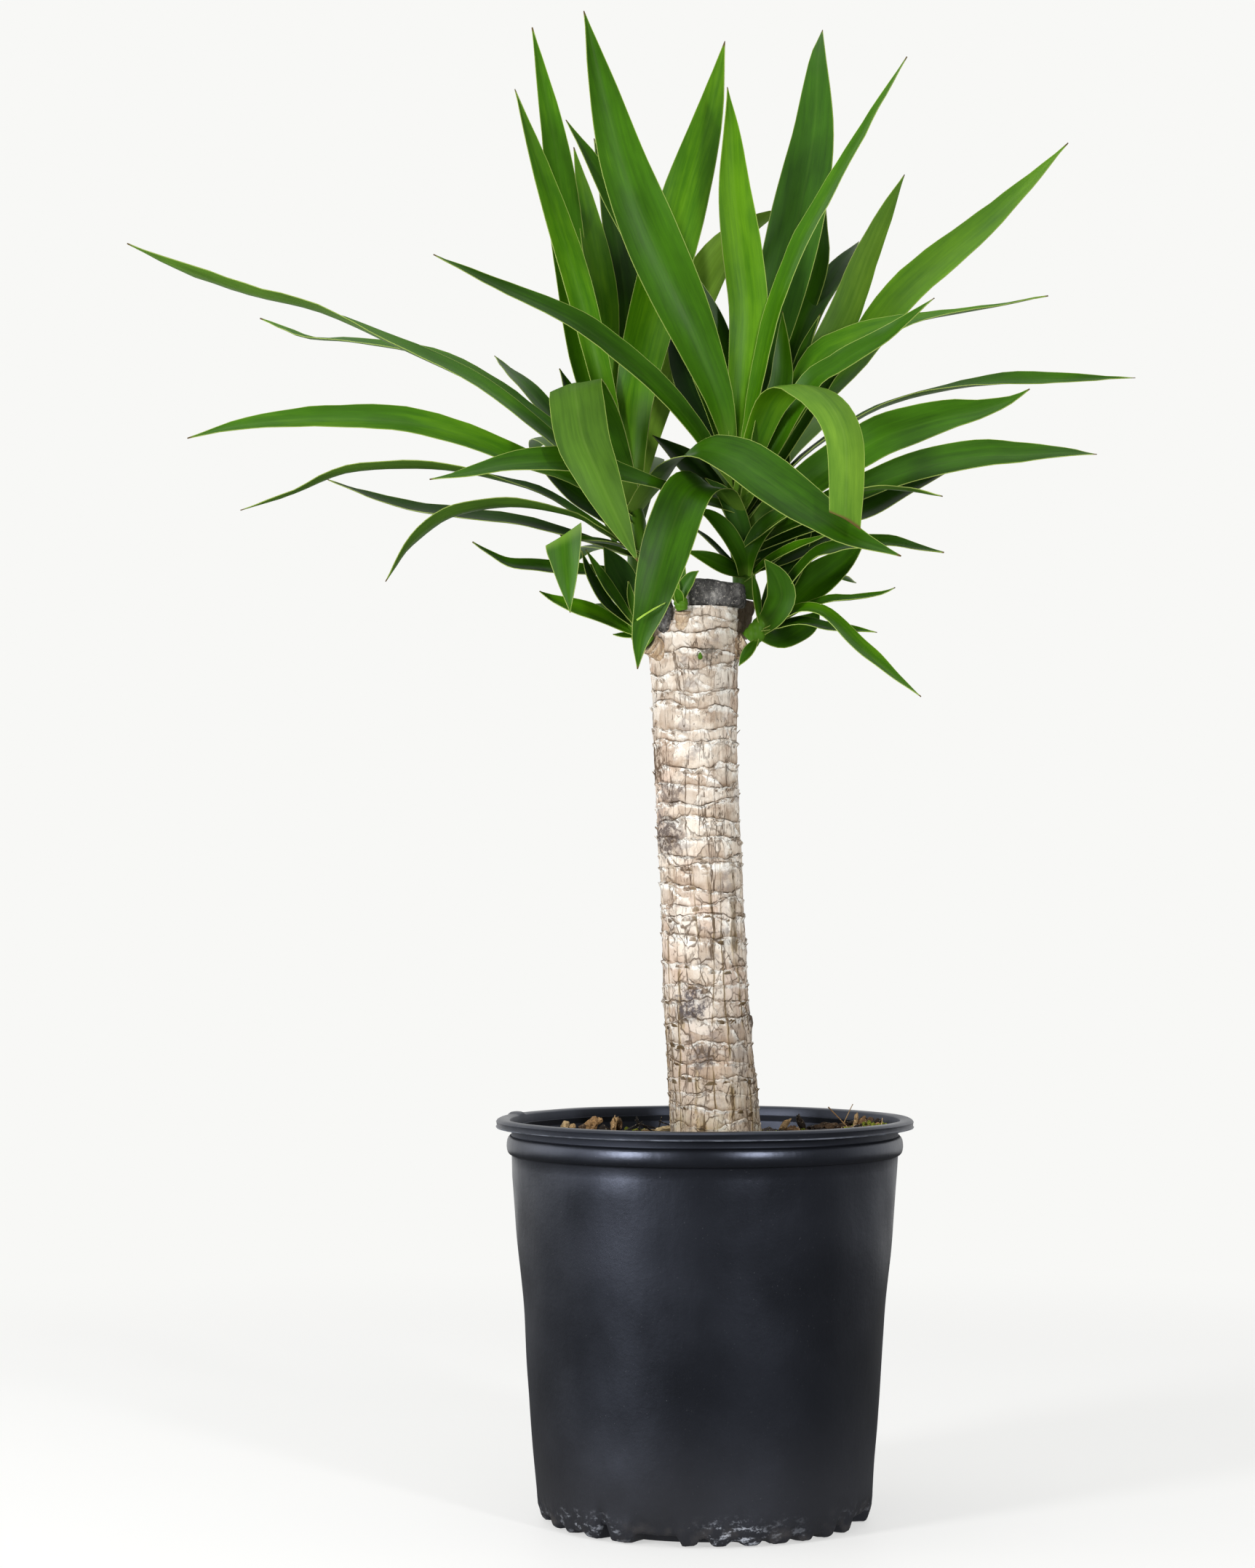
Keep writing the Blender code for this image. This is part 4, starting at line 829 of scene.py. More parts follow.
def caneRelief(angle, z, band, f):
    c, s = math.cos(angle), math.sin(angle)
    ropy = 1 - smoothStep(0.315, 0.375, z)
    around = band * 3.7
    lip = 0.62 + 1.6 * grain(c * 2.1 + around, s * 2.1, band * 1.3)
    plate = 0.1 + 0.35 * grain(c * 3 + around, s * 3, 5)
    push = scarRelief(f, max(0.0, lip) + 0.15, plate) * (1 - 0.4 * ropy)
    count, strength = crossScar(angle, z)
    push += 0.75 * scarRelief(count % 1.0, 0.8, 0.2) * strength
    push += 0.7 * mm * grain(c * 3.5, s * 3.5, z * 34)
    push += 0.34 * mm * grain(c * 13, s * 13, z * 120)
    push += 0.26 * mm * grain(c * 34, s * 34, z * 420)
    split = abs(grain(c * 4.2 + 5, s * 4.2, z * 11))  # shallow splits that run up the cane
    push -= 0.55 * mm * (1 - smoothStep(0.0, 0.05, split))
    rope = abs((seamTurn(angle, z) + 0.5) % 1.0 - 0.5)  # raised along the seams, lower down
    rope = (1 - smoothStep(0.04, 0.16, rope)) * (0.4 + 1.2 * abs(grain(c * 2, s * 2 + 5, z * 40)))
    return push + 0.6 * mm * rope * (1 - smoothStep(0.33, 0.47, z))


def knotPush(point):
    push = 0.0
    for x, y, z, reach, height in cane["knots"]:
        away = (point - Vector((x, y, z)) * mm).length / (reach * mm)
        if away < 1.6:
            rough = 1 + 0.5 * grain(point.x * 400, point.y * 400, point.z * 400)
            push += height * mm * math.exp(-2.4 * away * away) * rough
    return push


def buildCane():
    bm = bmesh.new()
    bandLayer = bm.verts.layers.float.new("scarBand")
    crossLayer = bm.verts.layers.float_vector.new("crossScar")
    seamLayer = bm.verts.layers.float_vector.new("longSeam")
    sides, foot, top = cane["sides"], cane["foot"], cane["top"]
    columns = [scarLines(fullTurn * side / sides) for side in range(sides)]
    last = len(cane["scars"]) - 1
    rows = [("foot", 0.0)] + [(band, f) for band in range(last) for f in cane["steps"]]
    rows += [(last, f) for f in cane["topSteps"]] + [("cut", share) for share in cane["cutRings"]]
    bandAt = {}  # by a vertex's place, because merging the tube's seam renumbers its vertices

    def key(point):
        return tuple(round(part, 6) for part in point)

    def place(u, v):
        band, f = rows[round(v * (len(rows) - 1))]
        angle = fullTurn * u
        if band == "foot":
            x, radius = caneMiddle(foot)
            return Vector((x, 0, 0)) + ringPoint(angle, radius, foot)
        if band == "cut":
            x, radius = caneMiddle(top)
            uneven = 0.0007 * grain(math.cos(angle) * f * 4, math.sin(angle) * f * 4, 6) - 0.0006
            return Vector((x, 0, 0)) + ringPoint(angle, (radius - 0.0006) * f, top + uneven)
        lines = columns[round(u * sides) % sides]
        low, high = lines[band], lines[band + 1] if band < last else top
        z = low + (high - low) * f
        x, radius = caneMiddle(z)
        point = Vector((x, 0, 0)) + ringPoint(angle, radius + caneRelief(angle, z, band, f), z)
        point += ringPoint(angle, knotPush(point))
        bandAt[key(point)] = band + f
        return point

    for vertex in wrappedGrid(bm, sides, len(rows) - 1, place):
        x, y, z = vertex.co
        angle = math.atan2(y, x - caneMiddle(z)[0])
        vertex[bandLayer] = bandAt.get(key(vertex.co), 0.5)
        vertex[crossLayer] = Vector((*crossScar(angle, z), 0))
        vertex[seamLayer] = ringPoint(fullTurn * seamTurn(angle, z), 1.0)
    facesOutward(bm)
    for collar in cane["collars"]:
        addCollar(bm, bandLayer, *collar)
    addFlakes(bm)
    finished("caneBark", bm, [caneBark()], "cane", 62)


# A stub of tan, fibrous bark round the foot of a shoot
def addCollar(bm, bandLayer, spot, heading, radius, length):
    start = Vector(spot) * mm
    turn = Vector((0, 0, 1)).rotation_difference(Vector(heading).normalized())

    def place(u, v):
        angle = fullTurn * u
        f = min(1.0, v * 1.12)
        size = (0.8 + 0.2 * f) * radius * mm
        if v > 0.89:  # closes in at the top
            size *= 1 - 0.22 * (v - 0.89) / 0.11
        ring = (f * length / cane["collarRing"]) % 1.0
        size += (0.45 * math.sin(math.pi * ring) - 0.15) * mm
        size += 0.45 * mm * grain(math.cos(angle) * 4 + spot[0], math.sin(angle) * 4, f * 5)
        return start + turn @ ringPoint(angle, size, f * length * mm)

    made = wrappedGrid(bm, 40, 16, place)
    for vertex in made:
        height = (turn.inverted() @ (vertex.co - start)).z
        vertex[bandLayer] = cane["collarBand"] + height / (cane["collarRing"] * mm)
    facesOutward(bm, list({face for vertex in made for face in vertex.link_faces}))


# Shreds of bark that stand a little proud at the scars
def addFlakes(caneMesh):
    rng = random.Random(cane["seed"])
    bm = bmesh.new()
    bandLayer = bm.verts.layers.float.new("scarBand")
    for _ in range(cane["flakes"]):
        angle = rng.uniform(0, fullTurn)
        lines = scarLines(angle)
        band = rng.randint(2, len(lines) - 3)
        z = lines[band] - rng.uniform(0.0004, 0.0016)
        x, radius = caneMiddle(z)
        width, height = rng.uniform(2.5, 8) * mm, rng.uniform(1.2, 3.4) * mm
        made = bmesh.ops.create_grid(bm, x_segments=3, y_segments=2, size=0.5)["verts"]
        faces = list({face for vertex in made for face in vertex.link_faces})
        curl, skew = rng.uniform(0.15, 0.75), rng.uniform(-0.5, 0.5) * mm
        for vertex in made:
            across, up = vertex.co.x, vertex.co.y + 0.5
            half = width * (1 - 0.55 * up) * (1 + rng.uniform(-0.15, 0.15))
            out = radius + 0.0001 + curl * up ** 1.5 * height + 0.0003 * rng.random()
            drop = height * (1 - up) * 0.9 - skew * across
            vertex.co = Vector((x, 0, 0)) + ringPoint(angle + across * half / radius, out, z - drop)
        bmesh.ops.solidify(bm, geom=faces, thickness=cane["flakeThickness"])
        for vertex in {vertex for face in faces for vertex in face.verts}:
            vertex[bandLayer] = cane["flakeBand"]
    facesOutward(bm)
    flakes = bpy.data.meshes.new("flakes")
    bm.to_mesh(flakes)
    bm.free()
    caneMesh.from_mesh(flakes)
    bpy.data.meshes.remove(flakes)


def caneBark():
    look = Look("caneBark", {"Specular IOR Level": 0.22})
    x, y, z = look.parts(look.spot)
    band = look.reading("scarBand", "Fac")
    count, strength, _ = look.parts(look.reading("crossScar"))
    seamCos, seamSin, _ = look.parts(look.reading("longSeam"))

    def plain(scale, detail, roughness):
        return look.noise(look.spot, scale, detail, roughness)

    def drawnUp(share, scale, detail=4, roughness=0.55, distortion=0.0, shift=(0, 0, 0)):
        return look.noise(look.stretch((1, 1, share), shift), scale, detail, roughness, distortion)

    # f and g run from 0 to 1 between the scar lines of the first and the second run
    jitter = look.swing(drawnUp(0.3, 260, 3), 0.10)
    jitter = look.plus(jitter, look.swing(drawnUp(0.4, 58, 3, shift=(2, 5, 4)), 0.34))
    f = look.maths("FRACT", look.plus(band, jitter))
    g = look.maths("FRACT", look.plus(count, jitter))
    streaks = drawnUp(0.10, 620, 5, 0.65)
    blotch = drawnUp(1.5, 62, 5, 0.62)
    broad = drawnUp(0.6, 26, 2)
    fine = plain(900, 4, 0.7)
    # plates, split by a network of cracks
    row = look.node("ShaderNodeTexWhiteNoise", {"W": look.maths("FLOOR", band)}, noise_dimensions="1D")
    bent = look.warped(look.stretch((1, 1, 0.72)), 70, 0.013)
    plateTone = look.parts(look.cells(bent, 72, "F1", "Color"))[0]
    tone = look.plus(look.times(blotch, 0.66), look.times(streaks, 0.24))
    tone = look.plus(tone, look.times(row.outputs["Value"], 0.12))
    base = look.ramp(tone, *cane["bark"])
    base = look.mix(look.fade(broad, 0.48, 0.66, 0.0, 0.5), base, cane["warmBark"])
    base = look.mix(look.fade(plateTone, 0.35, 0.0, 0.0, 0.5), base, cane["dullPlate"])
    base = look.mix(look.fade(plateTone, 0.7, 1.0, 0.0, 0.5), base, cane["palePlate"])
    grey = look.fade(drawnUp(1.2, 40, 5, 0.7, shift=(1, 7, 3)), 0.53, 0.64, 0.0, 0.55)
    base = look.mix(grey, base, cane["greyBark"])
    # papery lips under each scar line, and the shreds
    patchy = look.fade(drawnUp(1.8, 110, 6, 0.72), 0.46, 0.52)
    paper = look.times(look.fade(f, 0.62, 0.84), patchy)
    paper = look.most(paper, look.times(look.fade(g, 0.74, 0.9), look.times(strength, patchy)))
    paper = look.most(paper, look.fade(band, cane["flakesFrom"] - 1, cane["flakesFrom"]))
    base = look.mix(look.times(paper, 0.92), base, cane["paper"])
    # brown stain above each line, and the dark line itself
    stain = look.times(look.fade(f, 0.34, 0.02), look.fade(drawnUp(0.5, 120), 0.40, 0.62))
    base = look.mix(look.times(stain, 0.66), base, cane["stain"])
    broken = look.fade(plain(62, 6, 0.7), 0.43, 0.60)
    dark = look.times(look.fade(look.fromLine(f), 0.055, 0.008), look.most(broken, 0.06))
    crossing = look.times(look.fade(look.fromLine(g), 0.045, 0.010), look.times(strength, broken))
    dark = look.most(dark, crossing)
    # cracks up the cane, fine cracks, splits between the plates and a small network low down
    crack = look.fade(look.fromMiddle(drawnUp(0.07, 84, 5, 0.55, 0.3)), 0.015, 0.002)
    crack = look.times(crack, look.fade(drawnUp(0.35, 50, shift=(3, 1, 2)), 0.42, 0.50))
    dark = look.most(dark, crack)
    crack = look.fade(look.fromMiddle(drawnUp(0.22, 240, 2, 0.5, 0.3, (5, 2, 1))), 0.02, 0.004)
    crack = look.times(crack, look.fade(plain(110, 2, 0.5), 0.52, 0.6))
    dark = look.most(dark, look.times(crack, 0.7))
    crack = look.fade(look.cells(bent, 72, "DISTANCE_TO_EDGE"), 0.045, 0.008)
    crack = look.times(crack, look.fade(plain(48, 5, 0.65), 0.45, 0.56))
    dark = look.most(dark, look.times(crack, look.fade(z, 0.60, 0.34, 0.45, 0.95)))
    bent = look.warped(look.stretch((1, 1, 0.6)), 130, 0.008)
    crack = look.fade(look.cells(bent, 150, "DISTANCE_TO_EDGE"), 0.06, 0.01)
    crack = look.times(crack, look.fade(plain(60, 5, 0.65), 0.44, 0.58))
    dark = look.most(dark, look.times(crack, look.fade(z, 0.46, 0.30, 0.25, 0.8)))
    # long seams
    turn = look.maths("DIVIDE", look.maths("ARCTAN2", seamSin, seamCos), fullTurn)
    turn = look.plus(turn, look.swing(drawnUp(0.5, 210, 4, 0.65), 0.16))
    turn = look.maths("ABSOLUTE", turn)
    seam = look.fade(drawnUp(0.4, 55, shift=(6, 3, 2)), 0.38, 0.46)
    seam = look.times(look.times(look.fade(turn, 0.125, 0.07), seam), look.fade(z, 0.50, 0.35))
    seamCore = look.times(look.fade(turn, 0.05, 0.02), seam)
    # the ochre, ropy foot, mossy at the soil
    low = look.fade(look.plus(z, look.times(broad, 0.10)), 0.42, 0.33)
    low = look.times(low, look.fade(plain(40, 3, 0.55), 0.40, 0.60, 0.15, 0.6))
    base = look.mix(low, base, look.ramp(drawnUp(0.09, 150, 4, 0.6, 0.5), *cane["ochre"]))
    mossy = look.times(look.fade(z, 0.300, 0.262), look.fade(blotch, 0.42, 0.6))
    base = look.mix(look.times(mossy, 0.3), base, cane["moss"])
    base = look.mix(look.times(seam, 0.6), base, look.ramp(streaks, *cane["seamBark"]))
    base = look.mix(look.times(seamCore, 0.85), base, cane["seamCore"])
    # worn patches, knots and the grey smear
    mottled = look.fade(plain(260, 5, 0.7), 0.42, 0.54, 0.3, 1.0)
    ragged = look.swing(plain(170, 6, 0.7), 0.034)
    for middle, reach, colour, share in cane["patches"]:
        worn = look.fade(look.plus(look.away(middle), ragged), reach, reach * 0.55)
        base = look.mix(look.times(worn, look.times(mottled, share)), base, colour)
    # the tan collars, shaded at the right
    collar = look.fade(band, cane["collarsFrom"] - 1, cane["collarsFrom"])
    collar = look.times(collar, look.fade(band, cane["flakesFrom"] - 1, cane["flakesFrom"] - 2))
    base = look.mix(look.times(collar, 0.62), base, look.ramp(streaks, *cane["tanCollar"]))
    shaded = look.times(look.times(collar, look.fade(x, 0.014, 0.021)), look.fade(z, 0.603, 0.610, 0.0, 0.75))
    base = look.mix(shaded, base, cane["collarShade"])
    base = look.mix(look.times(dark, 0.88), base, cane["crack"])
    base = look.mix(look.fade(fine, 0.58, 0.70, 0.0, 0.45), base, cane["fleck"])
    base = look.mix(look.fade(z, 0.43, 0.33, 0.0, 0.14), base, cane["lowerTint"])
    base = look.mix(look.fade(z, 0.52, 0.57, 0.0, 0.15), base, cane["upperTint"])
    height = look.plus(look.times(streaks, 0.35), look.times(blotch, 0.35))
    height = look.minus(height, look.times(look.most(dark, seamCore), 0.75))
    normal = look.bump(height, 0.65, 0.0013, look.bump(fine, 0.35, 0.0006))
    return look.done(base, look.ramp(blotch, (0.3, 0.72), (0.7, 0.9)), normal)


# Wax: a rough dark cap on the cut top, and a scaly dab at its left shoulder

wax = {
    # of the cap: middle and reach across and in depth, in mm
    "middle": (7.2, -9.5), "reach": (20.4, 13.5),
    # share of the reach, and height in mm
    "rings": (
        (0.90, 625.4), (0.98, 625.8), (1.02, 627.5), (1.015, 631.5), (1.0, 635.5), (0.995, 639.0),
        (0.99, 641.8), (0.965, 643.3), (0.86, 644.0), (0.6, 644.4), (0.35, 644.2), (0.12, 644.3),
    ),
    "sides": 96, "rows": 44,
    # of the patch, in mm
    "patchMiddle": (-27.6, -17.6, 619.6), "patchSize": (6.4, 7.6, 12.6),
    "greys": ((0.36, "242323"), (0.47, "454342"), (0.57, "62605e"), (0.70, "979490")),
    "speck": "b5b0a6", "pit": "1b1a1a",
}


def greyWax():
    look = Look("greyWax", {"Specular IOR Level": 0.4})
    coarse = look.noise(look.stretch((1, 1, 0.7)), 130, 5, 0.65)
    fine = look.noise(look.spot, 620, 4, 0.7)
    base = look.ramp(coarse, *wax["greys"])
    base = look.mix(look.times(look.fade(fine, 0.56, 0.66), 0.7), base, wax["speck"])
    pits = look.fade(look.noise(look.spot, 300, 3), 0.58, 0.7)
    base = look.mix(look.times(pits, 0.5), base, wax["pit"])
    normal = look.bump(coarse, 0.8, 0.002, look.bump(fine, 0.5, 0.0009))
    return look.done(base, look.ramp(coarse, (0.35, 0.48), (0.7, 0.75)), normal)


def buildWaxCap(look):
    rings = wax["rings"]

    def place(u, v):
        at = v * (len(rings) - 1)
        index = min(len(rings) - 2, int(at))
        share, z = (a + (b - a) * (at - index) for a, b in zip(rings[index], rings[index + 1]))
        angle = fullTurn * u
        c, s = math.cos(angle), math.sin(angle)
        share *= 1 + 0.05 * grain(c * 2.2, s * 2.2, z * 0.05) + 0.05 * grain(c * 7, s * 7, z * 0.25)
        share *= 1 + 0.03 * grain(c * 19, s * 19, z * 0.7)
        share *= max(abs(c), abs(s)) ** -0.45  # squarish
        x = wax["middle"][0] + wax["reach"][0] * share * c
        y = wax["middle"][1] + wax["reach"][1] * share * s
        # an uneven top that slopes to the right, and a ragged lower edge
        z += (grain(x * 0.09, y * 0.09, 2) + 0.5 * grain(x * 0.3, y * 0.3, 3)) * smoothStep(628, 641, z)
        z -= 3.4 * smoothStep(-8, 27, x) * smoothStep(630, 642, z)
        ragged = 2.6 * grain(c * 3.2 + 4, s * 3.2, 1) + 1.3 * grain(c * 9, s * 9, 4)
        z += ragged * (1 - smoothStep(625.5, 634, z))
        return Vector((x, y, z)) * mm

    bm = bmesh.new()
    wrappedGrid(bm, wax["sides"], wax["rows"], place)
    facesOutward(bm)
    finished("waxCap", bm, [look], "wax_cap", 60)


def buildWaxPatch(look):
    bm = bmesh.new()
    bmesh.ops.create_icosphere(bm, subdivisions=5, radius=1)
    middle = Vector(wax["patchMiddle"])
    for vertex in bm.verts:
        x, y, z = vertex.co
        scale = 1 + 0.10 * grain(x * 2, y * 2, z * 2) + 0.07 * abs(grain(x * 6, y * 6, z * 6))
        scale += 0.05 * (1 - abs(math.sin(z * 9 + 2.2 * grain(x * 2, y * 2, 1))))
        vertex.co = (middle + vertex.co * Vector(wax["patchSize"]) * scale) * mm
        caneX, radius = caneMiddle(vertex.co.z)
        out = Vector((vertex.co.x - caneX, vertex.co.y, 0))
        if out.length < radius - 0.0005:  # seat it on the cane
            vertex.co += out.normalized() * (radius - 0.0005 - out.length)
    facesOutward(bm)
    finished("waxPatch", bm, [look], "wax_patch", 60)


buildCane()
waxLook = greyWax()
buildWaxCap(waxLook)
buildWaxPatch(waxLook)


# Leaves

blade = {
    "rows": 30, "shortRows": 18, "shortLength": 0.11,
    "columns": 8, "slimColumns": 4, "slimWidth": 12,  # mm
    "thickness": 0.0005, "tipWidth": 0.0006, "keel": 0.12, "ripple": 0.00045,
    "root": 0.38, "peak": 0.54, "fall": 1.8,  # used where a leaf gives none of its own
    "seed": 31,
    "upperGreens": ((0.0, "152b01"), (0.25, "244702"), (0.5, "386703"), (0.75, "5a8a09"), (1.0, "80b018")),
    "underGreens": ((0.0, "24400c"), (0.3, "385814"), (0.55, "4e741d"), (0.8, "6c9229"), (1.0, "86b038")),
    "paintedSheen": "31522a", "rootColour": "7da33a", "rib": "9cba5c", "margin": "a8b860", "dryTip": "5c4a26",
}


# A leaf is its widest breadth in mm and its points from root to tip. A point is x, z, depth and
# turn, laid out as seen from the viewpoint in the cane's own plane. At turn 0 the upper face looks to the
# front, at 90 up, at 180 back. sway moves the tip further back, or forward if below 0. across, where a
# leaf folds over, is the fixed direction over its blade. root and end are the breadths there as shares of
# the widest, peak is where the widest is, and fall how full it stays beyond. slant skews the two ends.
# tone runs from 0, darkest green, to 1, yellow green, and a bluish share adds painted sheen: a bluish tint
# that stands in for reflections.
def leaf(width, points, sway=0, across=None, root=None, end=0.0, slant=(0, 0), tone=0.4, bluishSheen=0.0,
         peak=None, fall=None):
    last = len(points) - 1
    points = [(x, z, depth + sway * (i / last) ** 2, turn) for i, (x, z, depth, turn) in enumerate(points)]
    return {"width": width, "points": points, "across": across, "end": end, "slant": slant, "tone": tone,
            "bluishSheen": bluishSheen, "root": blade["root"] if root is None else root,
            "peak": peak or blade["peak"], "fall": fall or blade["fall"]}


# A shoot's stem is its points from foot to top: x, z, depth and radius in mm
leftShoot = {
    "stem": ((-40.5, 618.6, 3, 9), (-41.3, 628, 2, 9), (-43.5, 648, 0, 8.5), (-47, 678, 0, 7.5),
             (-50, 700, 0, 6), (-51, 716, 0, 4)),
    "leaves": (
        leaf(20, ((-50, 700, 0, 20), (-62, 745, -6, 20), (-86, 843, -10, 15), (-108, 913, -8, 20),
                  (-130.5, 982, 0, 25)), sway=35, tone=0.55),
        leaf(24, ((-50, 702, 3, 20), (-80, 780, 10, 20), (-93, 868, 14, 10), (-102.5, 943, 14, 10),
                  (-118.5, 1024.5, 12, 20)), sway=50, tone=0.45),
        leaf(22, ((-50, 706, 1, 30), (-66.5, 783, 2, 30), (-70, 840, 2, 25), (-79.5, 893, 4, 20),
                  (-90, 942, 6, 30)), sway=60, tone=0.58),
        leaf(22, ((-51, 708, 4, 25), (-51, 765, 14, 20), (-55, 843, 18, 15), (-65, 903, 20, 20),
                  (-76, 948, 22, 30)), sway=70, tone=0.15),
        leaf(36, ((-50, 698, 0, 15), (-48.5, 763, 0, 10), (-39, 813, 2, 5), (-14.5, 903, 6, 10),
                  (2.5, 962, 10, 15), (14, 1015, 16, 25)), sway=25, tone=0.55),
        # this arching leaf's tone is raised to paint the light that shines through it
        leaf(34, ((-50, 700, 5, 160), (-36.5, 763, 28, 160), (-16.5, 818, 40, 155), (3.5, 857, 46, 150),
                  (21, 880, 50, 140), (41, 893, 52, 130), (58, 899, 54, 120)), sway=30, tone=0.85),
        leaf(30, ((-49, 690, -4, 60), (-84, 723, -12, 62), (-134, 765, -18, 64), (-164, 785, -20, 66),
                  (-214, 808, -20, 72), (-264, 830, -20, 88), (-314, 843, -20, 100),
                  (-364, 861, -18, 115), (-397, 876, -16, 115)), sway=40, tone=0.5),
        leaf(24, ((-49, 692, 4, 60), (-84, 728, 12, 60), (-114, 756, 14, 62), (-174, 795, 16, 66),
                  (-234, 808, 16, 72), (-272, 811, 16, 78), (-288, 817, 16, 60), (-305.5, 824.5, 14, 50)),
             sway=70, tone=0.55, bluishSheen=0.4),
        leaf(20, ((-50, 700, 8, 60), (-84, 733, 26, 55), (-119, 774, 32, 52), (-134, 788, 33, 55),
                  (-144.5, 798.5, 34, 60)), sway=60, tone=0.35),
        leaf(22, ((-50, 694, 12, 45), (-74, 734, 26, 40), (-88, 764, 32, 40), (-100, 790, 34, 45)), tone=0.2),
        leaf(24, ((-48, 676, 8, 40), (-68, 690, 14, 40), (-90, 706, 18, 42), (-116, 726, 20, 50)), tone=0.15),
        leaf(27, ((-49, 686, -5, 50), (-84, 712, -16, 48), (-124, 727, -22, 48), (-164, 743, -26, 46),
                  (-204, 753.5, -28, 44), (-244, 756, -30, 42), (-284, 755, -32, 42), (-320, 751, -32, 42),
                  (-355.5, 742, -32, 50)), sway=-50, tone=0.5),
        leaf(22, ((-48, 668, -4, 62), (-69, 678, -10, 62), (-104, 701, -18, 68), (-134, 712, -24, 78),
                  (-184, 722, -30, 94), (-244, 720, -32, 98), (-284, 704, -34, 99),
                  (-319, 692.5, -34, 100)), sway=-25, tone=0.4),
        leaf(24, ((-46, 660, -3, 68), (-84, 673, -12, 66), (-124, 684, -16, 66), (-164, 689, -18, 66),
                  (-204, 695, -20, 66), (-234, 704, -20, 68), (-259, 713.5, -20, 72)), sway=50, tone=0.15),
        leaf(22, ((-46, 663, -5, 80), (-74, 681, -22, 84), (-94, 690, -28, 90), (-134, 696.5, -34, 98),
                  (-174, 690, -38, 106), (-201, 671, -40, 110), (-219, 643.5, -40, 112)), sway=-40,
             tone=0.35),
        leaf(20, ((-43, 650, -5, 60), (-84, 651, -20, 60), (-114, 654, -22, 60), (-134, 656, -24, 60),
                  (-148, 663, -24, 65), (-159.5, 671, -24, 70)), tone=0.25),
        leaf(37, ((-50, 695, -4, 0), (-61, 725, -20, 0), (-73, 754, -38, 0), (-86, 776, -50, 0),
                  (-89, 779, -57, 0), (-88, 767, -66, 0), (-84, 743, -77, 0), (-76, 723, -86, 0),
                  (-65, 698, -90, 0), (-46, 657.5, -89, 0)), across=(-0.974, 0, -0.225), tone=0.38),
        leaf(20, ((-46, 664, -6, 80), (-64, 670, -24, 78), (-80, 672, -37, 76), (-96, 673, -46, 74)),
             end=0.8, tone=0.3),
        leaf(25, ((-97, 676, -56, 0), (-95.5, 655, -57.8, 0), (-92.5, 622.3, -59, 0)),
             across=(0.974, 0, 0.225), root=1.0, peak=0.05, fall=1.35, slant=(-0.56, 0), tone=0.4),
        leaf(36, ((-50, 690, -4, 130), (-40, 704, -13, 125), (-30, 716, -25, 112), (-20, 726.5, -38, 95),
                  (-8, 733.5, -50, 70), (5, 734.5, -60, 48), (24, 727.5, -74, 30), (40, 716.5, -86, 24),
                  (60, 702, -98, 22), (80, 688, -108, 22), (103, 673.5, -117, 26), (135, 661, -126, 40)),
             tone=0.32),
        leaf(28, ((-50, 690, 3, 0), (-62, 735, 50, 0), (-75, 762, 110, 0), (-85, 762, 170, 0),
                  (-90, 742, 225, 0)), across=(1, 0, 0), tone=0.4),
        leaf(26, ((-49, 685, 3, 0), (-76, 715, 50, 0), (-98, 738, 100, 0), (-112, 742, 150, 0),
                  (-120, 732, 200, 0)), across=(0.9, 0.4, 0), tone=0.4),
        leaf(28, ((-48, 670, 4, 0), (-55, 690, 60, 0), (-60, 700, 120, 0), (-62, 690, 180, 0),
                  (-62, 668, 230, 0)), across=(1, 0, 0), tone=0.4),
        leaf(26, ((-48, 680, 4, 0), (-44, 712, 60, 0), (-40, 728, 120, 0), (-40, 726, 180, 0),
                  (-38, 710, 230, 0)), across=(1, -0.2, 0), tone=0.4),
        leaf(20, ((-44, 660, 4, 0), (-66, 668, 60, 0), (-84, 666, 115, 0), (-94, 654, 165, 0)),
             across=(0.95, 0.3, 0), tone=0.4),
    ),
}

